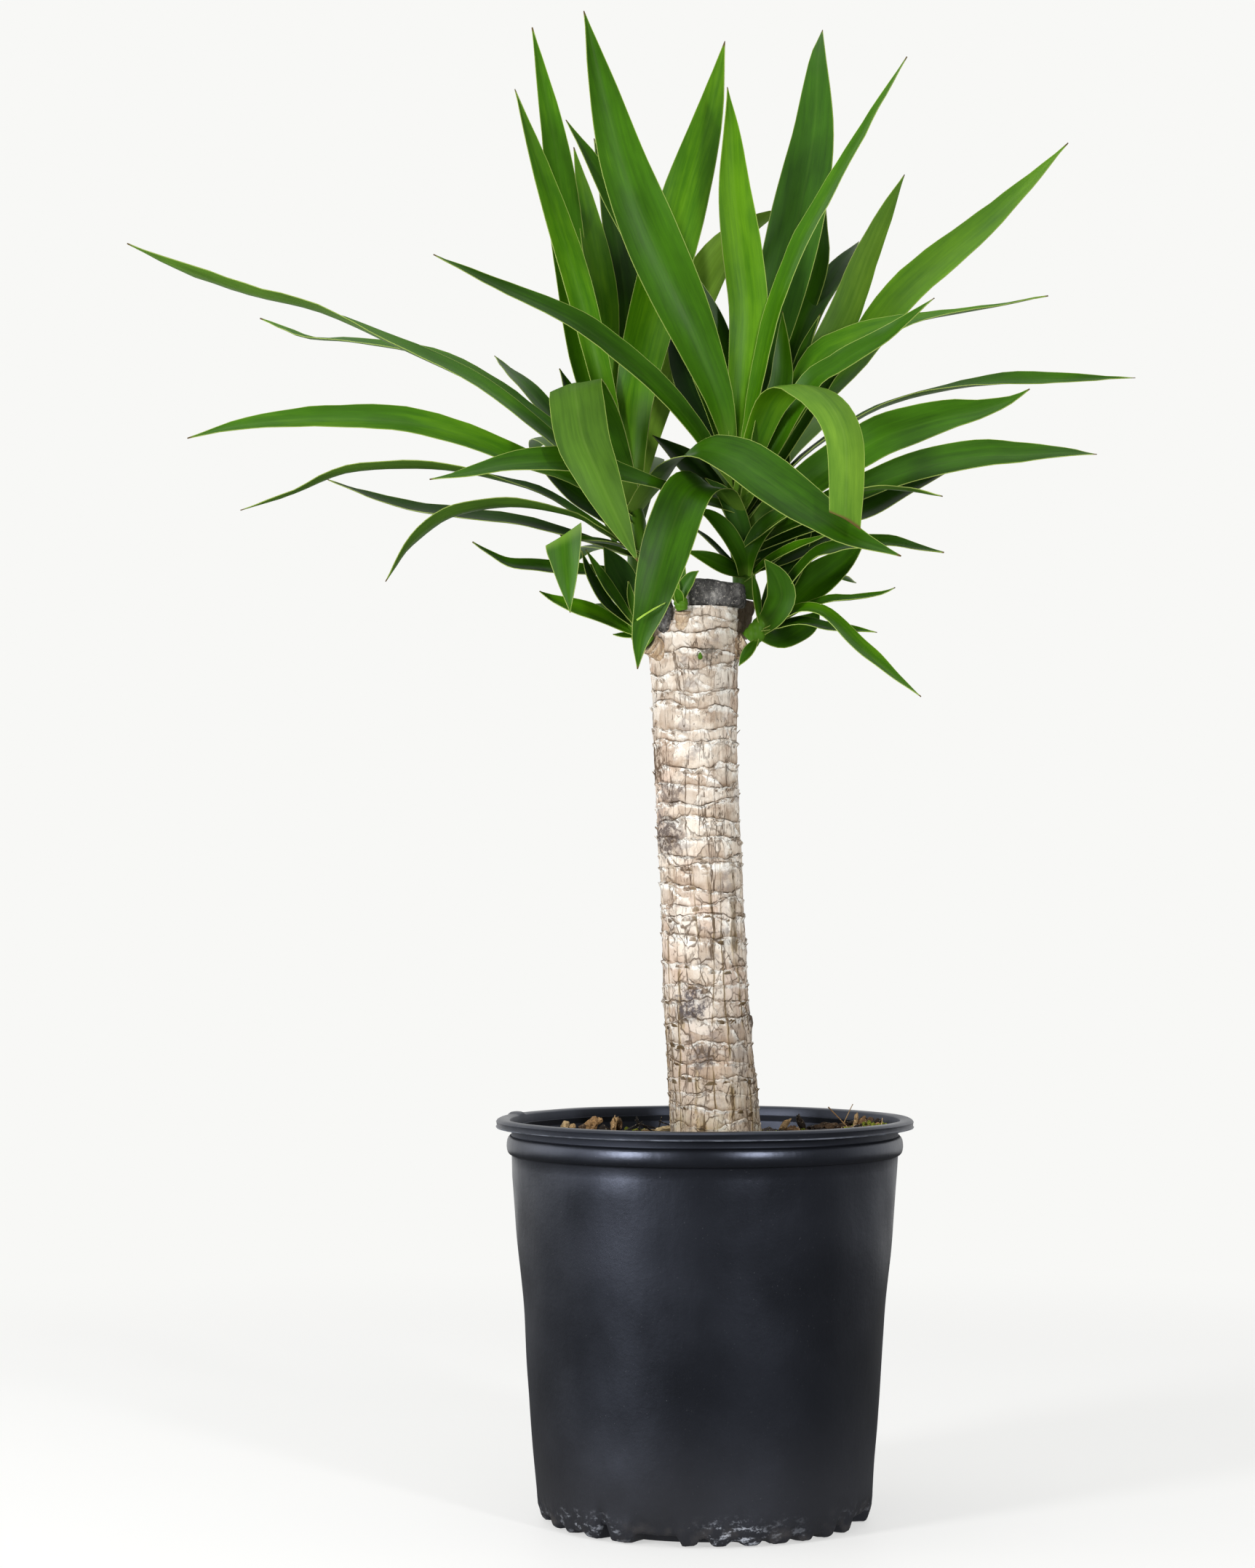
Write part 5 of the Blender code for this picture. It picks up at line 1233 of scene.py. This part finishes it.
centreShoot = {
    "stem": ((26, 632, 12, 9), (27.5, 645, 11, 8), (26, 660, 9, 8), (24, 685, 5, 7.5), (22, 707, 2, 6.5),
             (20, 728, 0, 4)),
    "leaves": (
        leaf(39, ((21, 718, 0, 20), (11.5, 763, -16, 20), (-1, 798, -26, 15), (-14, 829, -33, 10),
                  (-35.5, 878, -40, 5), (-55, 928, -42, 10), (-71, 986, -40, 15), (-83, 1036, -36, 25)),
             sway=-10, root=0.12, peak=0.5, tone=0.42),
        leaf(26, ((21, 718, 2, 20), (-4, 798, -8, 20), (-31.5, 858, -14, 20), (-59, 903, -16, 20),
                  (-78, 934, -17, 30), (-95.5, 961, -17, 40)), sway=20, tone=0.4),
        leaf(28, ((22, 712, -1, 5), (27, 783, -14, 5), (30, 828, -16, 5), (26, 868, -16, 5),
                  (20.5, 913, -14, 5), (18.5, 953, -12, 10), (15.5, 983.5, -10, 20)), sway=15, tone=0.6),
        leaf(38, ((22, 712, 4, 20), (36, 783, 8, 15), (52, 843, 10, 10), (66, 903, 12, 10),
                  (75, 953, 14, 15), (78, 1003, 16, 20), (81, 1022.5, 16, 25)), sway=60,
             tone=0.38, bluishSheen=0.4),
        leaf(24, ((23, 702, -3, 60), (36, 778, -22, 60), (46, 823, -26, 60), (58.5, 858, -28, 60),
                  (71, 886, -28, 60), (103.5, 943, -26, 62), (123.5, 978, -24, 64), (139, 1004.5, -22, 66)),
             sway=10, tone=0.5),
        leaf(22, ((23, 702, 6, 20), (52, 793, 22, 20), (75, 858, 26, 10), (78, 888, 27, 10),
                  (80, 928.5, 28, 20)), sway=40, tone=0.25),
        leaf(26, ((24, 697, 6, 30), (61, 803, 16, 30), (73.5, 833, 18, 30), (86, 851, 18, 30),
                  (98.5, 868, 18, 35), (106, 877, 18, 40)), sway=60, tone=0.3),
        leaf(28, ((24, 697, 4, 150), (62, 763, 8, 150), (94, 821, 10, 145), (112, 867, 12, 145),
                  (128, 903, 12, 145), (137.5, 923.5, 12, 140)), sway=30, tone=0.58),
        leaf(15, ((24, 699, 0, 30), (50, 750, -6, 30), (63.5, 783, -6, 30), (70, 806, -6, 35),
                  (79.5, 827.5, -6, 50)), sway=10, tone=0.3),
        leaf(17, ((23, 704, -1, 10), (42, 750, -10, 10), (52, 778, -12, 5), (53.5, 798, -12, 5),
                  (53.5, 829.5, -12, 15)), tone=0.5),
        leaf(18, ((21, 714, 4, 20), (16, 783, 0, 20), (8.5, 818, -4, 20), (-3, 846, -8, 25),
                  (-10, 858, -10, 35)), tone=0.2),
        leaf(30, ((21, 714, 5, 30), (-6.5, 773, 14, 30), (-17, 800, 18, 30), (-26, 826, 20, 35)),
             tone=0.15, bluishSheen=0.7),
        leaf(25, ((22, 708, -3, 45), (-9, 752, -30, 45), (-28, 774, -40, 45), (-49, 793, -48, 46),
                  (-74, 813, -54, 48), (-101, 829, -58, 50), (-144, 848, -62, 52), (-186.5, 868.5, -62, 58)),
             sway=-30, tone=0.3),
        leaf(27, ((23, 692, -2, 55), (-21.5, 706, -42, 66), (-54, 716.5, -53, 60), (-84, 726, -57, 42),
                  (-104, 727, -62, 42), (-124, 726, -68, 42), (-144, 723, -74, 45), (-164, 718, -78, 48),
                  (-189, 713.5, -82, 55)), tone=0.35),
        leaf(34, ((24, 688, -3, 0), (11, 707, -28, 0), (-3, 711, -50, 0), (-13.5, 702, -66, 0),
                  (-23, 678, -77, 0), (-32, 648, -82, 0), (-37.5, 626, -83, 0), (-44, 604, -80, 0),
                  (-46, 583.5, -76, 0)), across=(0.93, 0, -0.37), tone=0.3),
        leaf(1.3, ((-46.6, 617.2, -85.5, 10), (-36.5, 623.8, -87, 10), (-27, 629, -85, 10)),
             root=0.8, tone=1),
        leaf(26, ((23, 700, -3, 0), (36, 743, -18, 0), (47, 768, -34, 0), (60, 778, -52, 0),
                  (75, 774, -68, 0), (88.5, 761, -84, 0), (96, 743, -98, 0), (97.5, 718, -112, 0),
                  (96.5, 686, -128, 0)), across=(-1, 0, 0), end=0.8, slant=(0, -0.6), tone=0.6),
        leaf(33, ((24, 690, 4, 50), (58, 746, 16, 45), (100, 793, 26, 42), (132, 836, 32, 40),
                  (162, 864, 36, 38), (191, 888, 38, 40), (221, 916, 40, 45), (250, 945, 40, 50)), sway=60,
             root=0.2, peak=0.56, tone=0.66),
        leaf(20, ((25, 688, 2, 40), (71, 763, 2, 40), (88.5, 788, 0, 45), (116, 808, 0, 60)), sway=20,
             tone=0.3),
        leaf(26, ((24, 695, -3, 30), (61, 763, -12, 30), (78.5, 796, -14, 28), (98.5, 808, -14, 35),
                  (121, 817, -12, 50), (146, 824, -10, 66), (176, 829, -8, 74), (206, 834, -6, 76),
                  (236, 840, -4, 78)), sway=30, tone=0.55),
        leaf(20, ((24, 690, -3, 40), (68, 773, -26, 40), (91, 793, -30, 40), (121, 811, -32, 35),
                  (136, 822, -32, 35), (158, 838.5, -30, 45)), sway=-20, tone=0.4),
        leaf(24, ((25, 680, 0, 75), (63.5, 726, -8, 80), (107.5, 757, -10, 82), (136, 769, -10, 82),
                  (166, 776, -10, 78), (191, 780, -10, 66), (216, 782.5, -8, 54), (256, 783, -6, 52),
                  (296, 783.5, -4, 60)), sway=50, tone=0.4),
        leaf(32, ((25, 675, -2, 20), (76, 716, -24, 22), (107.5, 735, -30, 25), (126, 745, -32, 25),
                  (166, 757, -34, 28), (188.5, 761, -34, 35), (211, 768.5, -34, 40), (223.5, 776, -34, 50)),
             sway=-20, tone=0.42),
        leaf(30, ((26, 668, -2, 45), (76, 693, -30, 50), (107.5, 707, -38, 48), (146, 722, -42, 45),
                  (186, 730, -44, 40), (216, 731, -44, 40), (246, 732, -44, 45), (269.5, 731, -44, 60)),
             sway=-60, tone=0.3),
        leaf(24, ((26, 662, 0, 50), (76, 684, -12, 50), (111, 693, -14, 50), (131, 703, -14, 50),
                  (151, 712, -14, 55), (172, 722, -14, 60)), sway=-10, tone=0.2),
        leaf(16, ((26, 666, -3, 80), (66, 693, -46, 80), (107.5, 706, -56, 84), (136, 707, -58, 100),
                  (163.5, 702, -58, 100)), sway=-30, tone=0.35),
        leaf(24, ((22, 690, 6, 40), (2, 712, 8, 40), (-15, 728, 8, 40), (-36, 744, 8, 50)), tone=0.12),
        leaf(26, ((30, 664, 8, 20), (40, 690, 10, 20), (48, 716, 10, 20), (58, 742, 10, 30)),
             tone=0.12, bluishSheen=0.4),
        leaf(13, ((27, 648, -1, 25), (24.5, 661, -9, 22), (16, 677, -14, 20), (4, 689, -16, 25),
                  (-8, 694, -14, 40)), root=0.7, tone=0.42),
        leaf(15, ((27, 650, 2, 20), (27, 668, -7, 15), (22, 688, -11, 12), (13, 704, -13, 15),
                  (0, 715, -12, 30)), root=0.7, tone=0.36, bluishSheen=0.3),
        leaf(14, ((27.5, 649, 1, 25), (31, 664, -10, 25), (40, 680, -16, 30), (56, 693, -20, 40),
                  (68, 698, -22, 50)), root=0.8, tone=0.42),
        leaf(9, ((27, 648, 8, 60), (3.5, 671, 2, 60), (-9, 682, -4, 60)), tone=0.2),
        leaf(15, ((26.5, 649, 3, 40), (14, 654, -9, 34), (0, 660, -14, 34), (-13, 665, -16, 45)),
             root=0.6, peak=0.45, tone=0.36),
        leaf(27, ((30, 650, 6, 30), (48, 670, 4, 25), (58, 690, 2, 25), (64, 714, 0, 35)),
             tone=0.14, bluishSheen=0.5),
        leaf(10, ((27, 644, 6, 60), (44, 658, -16, 55), (62, 668, -24, 50), (76, 673, -26, 50),
                  (86, 676.5, -27, 60)), tone=0.5),
        leaf(20, ((29, 650, 4, 40), (56, 662, 2, 40), (78, 672, 0, 45), (104, 684, -2, 55)), tone=0.12),
        leaf(28, ((23, 700, 4, 0), (30, 742, 60, 0), (34, 772, 130, 0), (36, 772, 200, 0),
                  (36, 752, 250, 0)), across=(1, 0, 0), tone=0.4),
        leaf(26, ((24, 690, 6, 0), (52, 730, 55, 0), (78, 757, 110, 0), (92, 762, 165, 0),
                  (100, 748, 215, 0)), across=(0.9, -0.45, 0), tone=0.4),
        leaf(26, ((24, 680, 7, 0), (10, 716, 60, 0), (2, 732, 120, 0), (-1, 730, 180, 0),
                  (-2, 712, 230, 0)), across=(1, 0.2, 0), tone=0.4),
        leaf(24, ((26, 668, 8, 0), (56, 690, 50, 0), (84, 704, 95, 0), (104, 702, 140, 0),
                  (116, 690, 185, 0)), across=(0.8, -0.6, 0), tone=0.4),
        leaf(24, ((27, 655, 10, 0), (32, 672, 60, 0), (34, 676, 120, 0), (33, 664, 175, 0),
                  (30, 645, 220, 0)), across=(1, 0, 0), tone=0.4),
    ),
}

rightShoot = {
    "stem": ((30.5, 603.5, -5, 7), (36, 609.5, -6, 6.8), (40.5, 617, -7, 5.5), (42.5, 624, -8, 3)),
    "leaves": (
        leaf(22, ((40, 618, -8, 62), (71, 658, -38, 70), (91, 667, -48, 60), (106, 670, -54, 58),
                  (126, 670.5, -58, 56), (146, 667, -60, 58), (164.5, 663.5, -60, 62)), sway=-25, tone=0.3),
        leaf(28, ((39, 612, -6, 40), (58.5, 628, -4, 35), (76, 643, -4, 30), (96, 658, -6, 35),
                  (113, 676, -8, 50)), fall=1.5, tone=0.4),
        leaf(14, ((41, 616, -8, 66), (81, 630, -24, 66), (101, 632, -26, 66), (121, 635, -26, 66),
                  (131, 639.5, -26, 70)), sway=-10, tone=0.35),
        leaf(18, ((40, 612, -8, 60), (63.5, 624, -28, 60), (78.5, 624, -34, 56), (91, 615, -38, 54),
                  (103.5, 602, -40, 52), (118.5, 589, -42, 52), (136, 574, -44, 54), (148.5, 564.5, -44, 60)),
             sway=-30, tone=0.5),
        leaf(16, ((38, 610, -8, 64), (66, 616, -24, 64), (86, 612, -28, 64), (106, 610, -30, 66),
                  (118.5, 608.5, -30, 70)), sway=-10, tone=0.4),
        leaf(25, ((35, 607, -4, 45), (51, 604, 0, 40), (66, 612, 4, 35), (79, 623, 6, 45)), sway=20,
             tone=0.44),
        leaf(20, ((39, 612, -9, 20), (48, 622, -24, 15), (53, 634, -32, 10), (49, 648, -36, 10),
                  (41, 659, -38, 20)), root=0.6, tone=0.36),
        leaf(22, ((39, 616, -2, 30), (52, 640, 2, 28), (62, 660, 4, 28), (74, 682, 4, 35)),
             tone=0.1, bluishSheen=0.3),
        leaf(6, ((38, 614, -10, 20), (35, 638, -22, 20), (32.5, 651, -24, 20)), tone=0.4),
        leaf(8, ((36, 604, -11, 40), (31, 597, -18, 20), (27, 591, -20, 20), (23.5, 585.5, -20, 20)),
             tone=0.4),
        leaf(22, ((40, 616, -5, 0), (52, 630, 40, 0), (62, 634, 80, 0), (68, 624, 115, 0)),
             across=(1, -0.3, 0), tone=0.4),
        leaf(20, ((41, 618, -6, 0), (66, 638, 30, 0), (88, 648, 60, 0), (104, 643, 90, 0)),
             across=(0.7, -0.7, 0), tone=0.4),
    ),
}

leftLowShoot = {
    "stem": ((-38.5, 601, -19, 5.5), (-44, 606, -20, 6), (-48, 614, -21, 5), (-49, 621, -21, 3)),
    "leaves": (
        leaf(18, ((-46, 607, -21, 55), (-61.5, 615, -26, 52), (-76.5, 622, -30, 50), (-91.5, 627, -32, 50),
                  (-104, 631.5, -32, 52), (-113.5, 637, -32, 58)), tone=0.5),
        leaf(8, ((-45, 605.5, -21, 60), (-56, 606.5, -22, 60), (-63, 607, -22, 60)), tone=0.4),
        leaf(12, ((-48, 612, -22, 50), (-66.5, 628, -30, 50), (-78, 646, -34, 50), (-85, 665, -36, 55)),
             tone=0.25),
        leaf(12, ((-48, 614, -23, 50), (-60, 631, -34, 50), (-71.5, 648, -40, 50), (-82, 665.5, -43, 55)),
             tone=0.3),
        leaf(22, ((-48.5, 616, -21, 20), (-52, 633, -23, 20), (-61, 652, -28, 20), (-70, 668, -32, 40)),
             tone=0.3, bluishSheen=0.5),
        leaf(6, ((-48.5, 618, -22, 30), (-51, 633, -27, 30), (-52.5, 644, -29, 30)), tone=0.4),
        leaf(16, ((-47, 612, -19, 0), (-60, 624, -2, 0), (-72, 628, 22, 0), (-82, 622, 46, 0)),
             across=(0.9, 0.3, 0), tone=0.4),
    ),
}

frontShoot = {
    "stem": ((-15.5, 624, -29, 3.6), (-16.3, 629, -29.5, 4.8), (-17, 634, -30, 3.6), (-17.5, 638, -30, 1.6)),
    "leaves": (
        leaf(10, ((-17, 629, -30, 20), (-14, 639, -32, 20), (-9, 647, -33, 20), (-4, 651, -33, 30)),
             tone=0.35, bluishSheen=0.4),
        leaf(11, ((-18, 631, -29, 30), (-18, 645, -28, 25), (-15.5, 662, -28, 30)), tone=0.4),
        leaf(8, ((-17.5, 629, -30, 10), (-21, 637, -33, 10), (-20, 648.5, -34, 20)), tone=0.6),
        leaf(7, ((-17, 629, -31, 10), (-17.5, 632, -36, 10), (-20, 640, -39, 20)), tone=0.5),
    ),
}

budShoot = {
    "stem": ((-3, 591.0, -31.5, 1.2), (-3, 592.0, -33.2, 1.6), (-3.1, 593.5, -33.9, 1.2),
             (-3, 595.0, -34.2, 0.4)),
    "leaves": (),
}


def seenAt(x, z, depth):  # from where the viewpoint sees it in the cane's plane to its place at that depth
    stretch = (depth * mm - viewpoint.y) / -viewpoint.y
    return Vector((viewpoint.x + (x * mm - viewpoint.x) * stretch, depth * mm,
                   viewpoint.z + (z * mm - viewpoint.z) * stretch))


def between(p0, p1, p2, p3, t):  # a smooth curve from p1 to p2
    return [0.5 * (2 * b + (c - a) * t + (2 * a - 5 * b + 4 * c - d) * t ** 2
                   + (3 * b - a - 3 * c + d) * t ** 3)
            for a, b, c, d in zip(p0, p1, p2, p3)]


# A smooth curve through the points, cut into even lengths
def smoothPoints(points, count, steps=14):
    first = [2 * a - b for a, b in zip(points[0], points[1])]
    last = [2 * a - b for a, b in zip(points[-1], points[-2])]
    padded = [first, *points, last]
    fine = []
    for index in range(len(points) - 1):
        fine += [between(*padded[index:index + 4], step / steps) for step in range(steps)]
    fine.append(list(points[-1]))
    lengths = [0.0]
    for a, b in zip(fine, fine[1:]):
        lengths.append(lengths[-1] + math.dist(a[:3], b[:3]))
    spread, spot = [], 1
    for index in range(count):
        goal = lengths[-1] * index / (count - 1)
        while lengths[spot] < goal - 1e-12 and spot < len(lengths) - 1:
            spot += 1
        part = (goal - lengths[spot - 1]) / (lengths[spot] - lengths[spot - 1])
        spread.append([a + (b - a) * part for a, b in zip(fine[spot - 1], fine[spot])])
    return spread, lengths[-1]


def bladeBreadth(t, shape):
    if t < shape["peak"]:
        return shape["root"] + (1 - shape["root"]) * math.sin(0.5 * math.pi * t / shape["peak"])
    fall = (t - shape["peak"]) / (1 - shape["peak"])
    return shape["end"] + (1 - shape["end"]) * (1 - fall ** shape["fall"])


# Along a blade: its length, and for each row the place, the way across and the way its upper face looks
def bladeFrames(shape, count):
    points = [(*seenAt(x, z, depth), turn) for x, z, depth, turn in shape["points"]]
    spread, length = smoothPoints(points, count)
    places = [Vector(point[:3]) for point in spread]
    lean = -1 if places[-1].x > places[0].x else 1
    frames = []
    for index, place in enumerate(places):
        along = (places[min(index + 1, count - 1)] - places[max(index - 1, 0)]).normalized()
        if shape["across"]:
            side = Vector(shape["across"])
            side = (side - side.dot(along) * along).normalized()
        else:
            flat = Vector((-along.z, 0, along.x)).normalized()
            turn = lean * math.radians(spread[index][3])
            side = math.cos(turn) * flat + math.sin(turn) * along.cross(flat).normalized()
        frames.append((place, side, along.cross(side)))
    return frames, length


def addBlade(bm, layers, shape, seed):
    length = bladeFrames(shape, 8)[1]
    rows = blade["rows"] if length > blade["shortLength"] else blade["shortRows"]
    columns = blade["columns"] if shape["width"] > blade["slimWidth"] else blade["slimColumns"]
    frames, length = bladeFrames(shape, rows + 1)
    made = bmesh.ops.create_grid(bm, x_segments=columns, y_segments=rows, size=0.5)["verts"]
    faces = list({face for vertex in made for face in vertex.link_faces})
    for vertex in made:
        t, reach = vertex.co.y + 0.5, vertex.co.x * 2
        place, side, up = frames[round(t * rows)]
        half = max(shape["width"] * mm * bladeBreadth(t, shape), blade["tipWidth"]) / 2
        half *= 1 + 0.018 * grain(t * 7, seed * 3.3, 1.0 if reach > 0 else 5.0)
        fold = blade["keel"] * (abs(reach) ** 1.6 - 0.45) * 2 * half
        fold += 2 * blade["ripple"] * grain(t * length * 55, seed * 1.7, reach * 1.2) * reach ** 2
        skew = reach * half * (shape["slant"][0] * (1 - t) ** 3 + shape["slant"][1] * t ** 3)
        vertex.co = place + side * half * reach + up * fold + side.cross(up) * skew
        vertex[layers["place"]] = Vector((reach * half, t * length, t))
        vertex[layers["look"]] = Vector((shape["tone"], shape["bluishSheen"], seed * 0.137 % 1.0))
        vertex[layers["edge"]] = (1 - abs(reach)) * half
    for face in faces:
        face.normal_update()
    before = set(bm.faces)
    bmesh.ops.solidify(bm, geom=faces, thickness=blade["thickness"])
    shell = faces + [face for face in bm.faces if face not in before]
    facesOutward(bm, shell)
    for face in shell:  # the upper side takes the first look, the under side the second
        face.normal_update()
        t = sum(vertex[layers["place"]].z for vertex in face.verts) / len(face.verts)
        up = frames[min(rows, round(t * rows))][2]
        face.material_index = 0 if face.normal.dot(up) > 0 else 1


def addStem(bm, layers, points, seed):
    points = [(*seenAt(x, z, depth), radius * mm) for x, z, depth, radius in points]
    rings = smoothPoints(points, 25)[0]
    last = len(rings) - 1

    def place(u, v):
        index = round(v * last)
        middle, radius = Vector(rings[index][:3]), rings[index][3]
        ahead = Vector(rings[min(index + 1, last)][:3]) - Vector(rings[max(index - 1, 0)][:3])
        turn = Vector((0, 0, 1)).rotation_difference(ahead.normalized())
        angle = fullTurn * u
        rough = grain(math.cos(angle) * 3, math.sin(angle) * 3, v * 6)
        radius *= 1 + 0.05 * math.sin(3 * angle + v * 30) + 0.04 * rough
        return middle + turn @ ringPoint(angle, radius)

    made = wrappedGrid(bm, 28, last, place)
    facesOutward(bm, list({face for vertex in made for face in vertex.link_faces}))
    foot = Vector(rings[0][:3])
    for vertex in made:
        vertex[layers["place"]] = Vector((vertex.co.x - foot.x, (vertex.co - foot).length, 0.1))
        vertex[layers["look"]] = Vector((0.42, 0.0, seed * 0.1))
        vertex[layers["edge"]] = 0.004


def buildShoot(name, shoot, node, looks):
    bm = bmesh.new()
    # what the leaf materials read of each vertex: how far across, along and in share of the length it is,
    # its leaf's tone, blue and own number, and how far in from the margin it is
    vectors, numbers = bm.verts.layers.float_vector, bm.verts.layers.float
    layers = {"place": vectors.new("leafPlace"), "look": vectors.new("leafLook"),
              "edge": numbers.new("leafEdge")}
    addStem(bm, layers, shoot["stem"], len(name))
    for index, shape in enumerate(shoot["leaves"]):
        addBlade(bm, layers, shape, blade["seed"] + len(name) * 7 + index)
    finished(name, bm, looks, node, 55)


def leafLook(name, under):
    look = Look(name, {"Specular IOR Level": 0.28 if under else 0.33, "IOR": 1.3})
    across, along, t = look.parts(look.reading("leafPlace"))
    tone, bluishSheen, own = look.parts(look.reading("leafLook"))

    def grown(share, scale, roughness=0.55):  # a noise that runs along the blade
        vector = look.joined(across, look.times(along, share), own)
        return look.noise(vector, scale, 3, roughness)

    fibre, streak, cloud = grown(0.035, 1500, 0.6), grown(0.05, 330), grown(0.4, 46)
    shade = look.plus(tone, look.swing(streak, 0.30))
    shade = look.plus(shade, look.swing(cloud, 0.45))
    shade = look.plus(shade, look.swing(fibre, 0.16))
    base = look.ramp(shade, *blade["underGreens" if under else "upperGreens"])
    if not under:
        # painted sheen: the upper face is pulled towards a dark bluish green that stands in for reflections
        # of the surround
        base = look.mix(look.times(bluishSheen, 0.5), base, blade["paintedSheen"])
    # paler root, a faint midrib, thin pale margins and a dry tip
    base = look.mix(look.fade(t, 0.16, 0.0, 0.0, 0.5), base, blade["rootColour"])
    rib = look.fade(look.maths("ABSOLUTE", across), 0.0011, 0.0003, 0.0, 0.05 if under else 0.02)
    base = look.mix(rib, base, blade["rib"])
    margin = look.fade(look.reading("leafEdge", "Fac"), 0.0005, 0.00015, 0.0, 0.6)
    base = look.mix(margin, base, blade["margin"])
    base = look.mix(look.fade(look.plus(t, look.swing(cloud, 0.02)), 0.985, 0.997), base, blade["dryTip"])
    rough = look.plus(look.times(cloud, 0.16), 0.42 if under else 0.34)
    return look.done(base, rough, look.bump(look.plus(fibre, look.times(streak, 0.8)), 0.08, 0.0006))


greens = [leafLook("leafUpperFace", False), leafLook("leafUnderFace", True)]
buildShoot("leavesLeft", leftShoot, "shoot_left", greens)
buildShoot("leavesCentre", centreShoot, "shoot_centre", greens)
buildShoot("leavesRight", rightShoot, "shoot_right", greens)
buildShoot("leavesLeftLow", leftLowShoot, "shoot_left_low", greens)
buildShoot("leavesFront", frontShoot, "shoot_front", greens)
buildShoot("budOnCane", budShoot, "shoot_bud", greens)
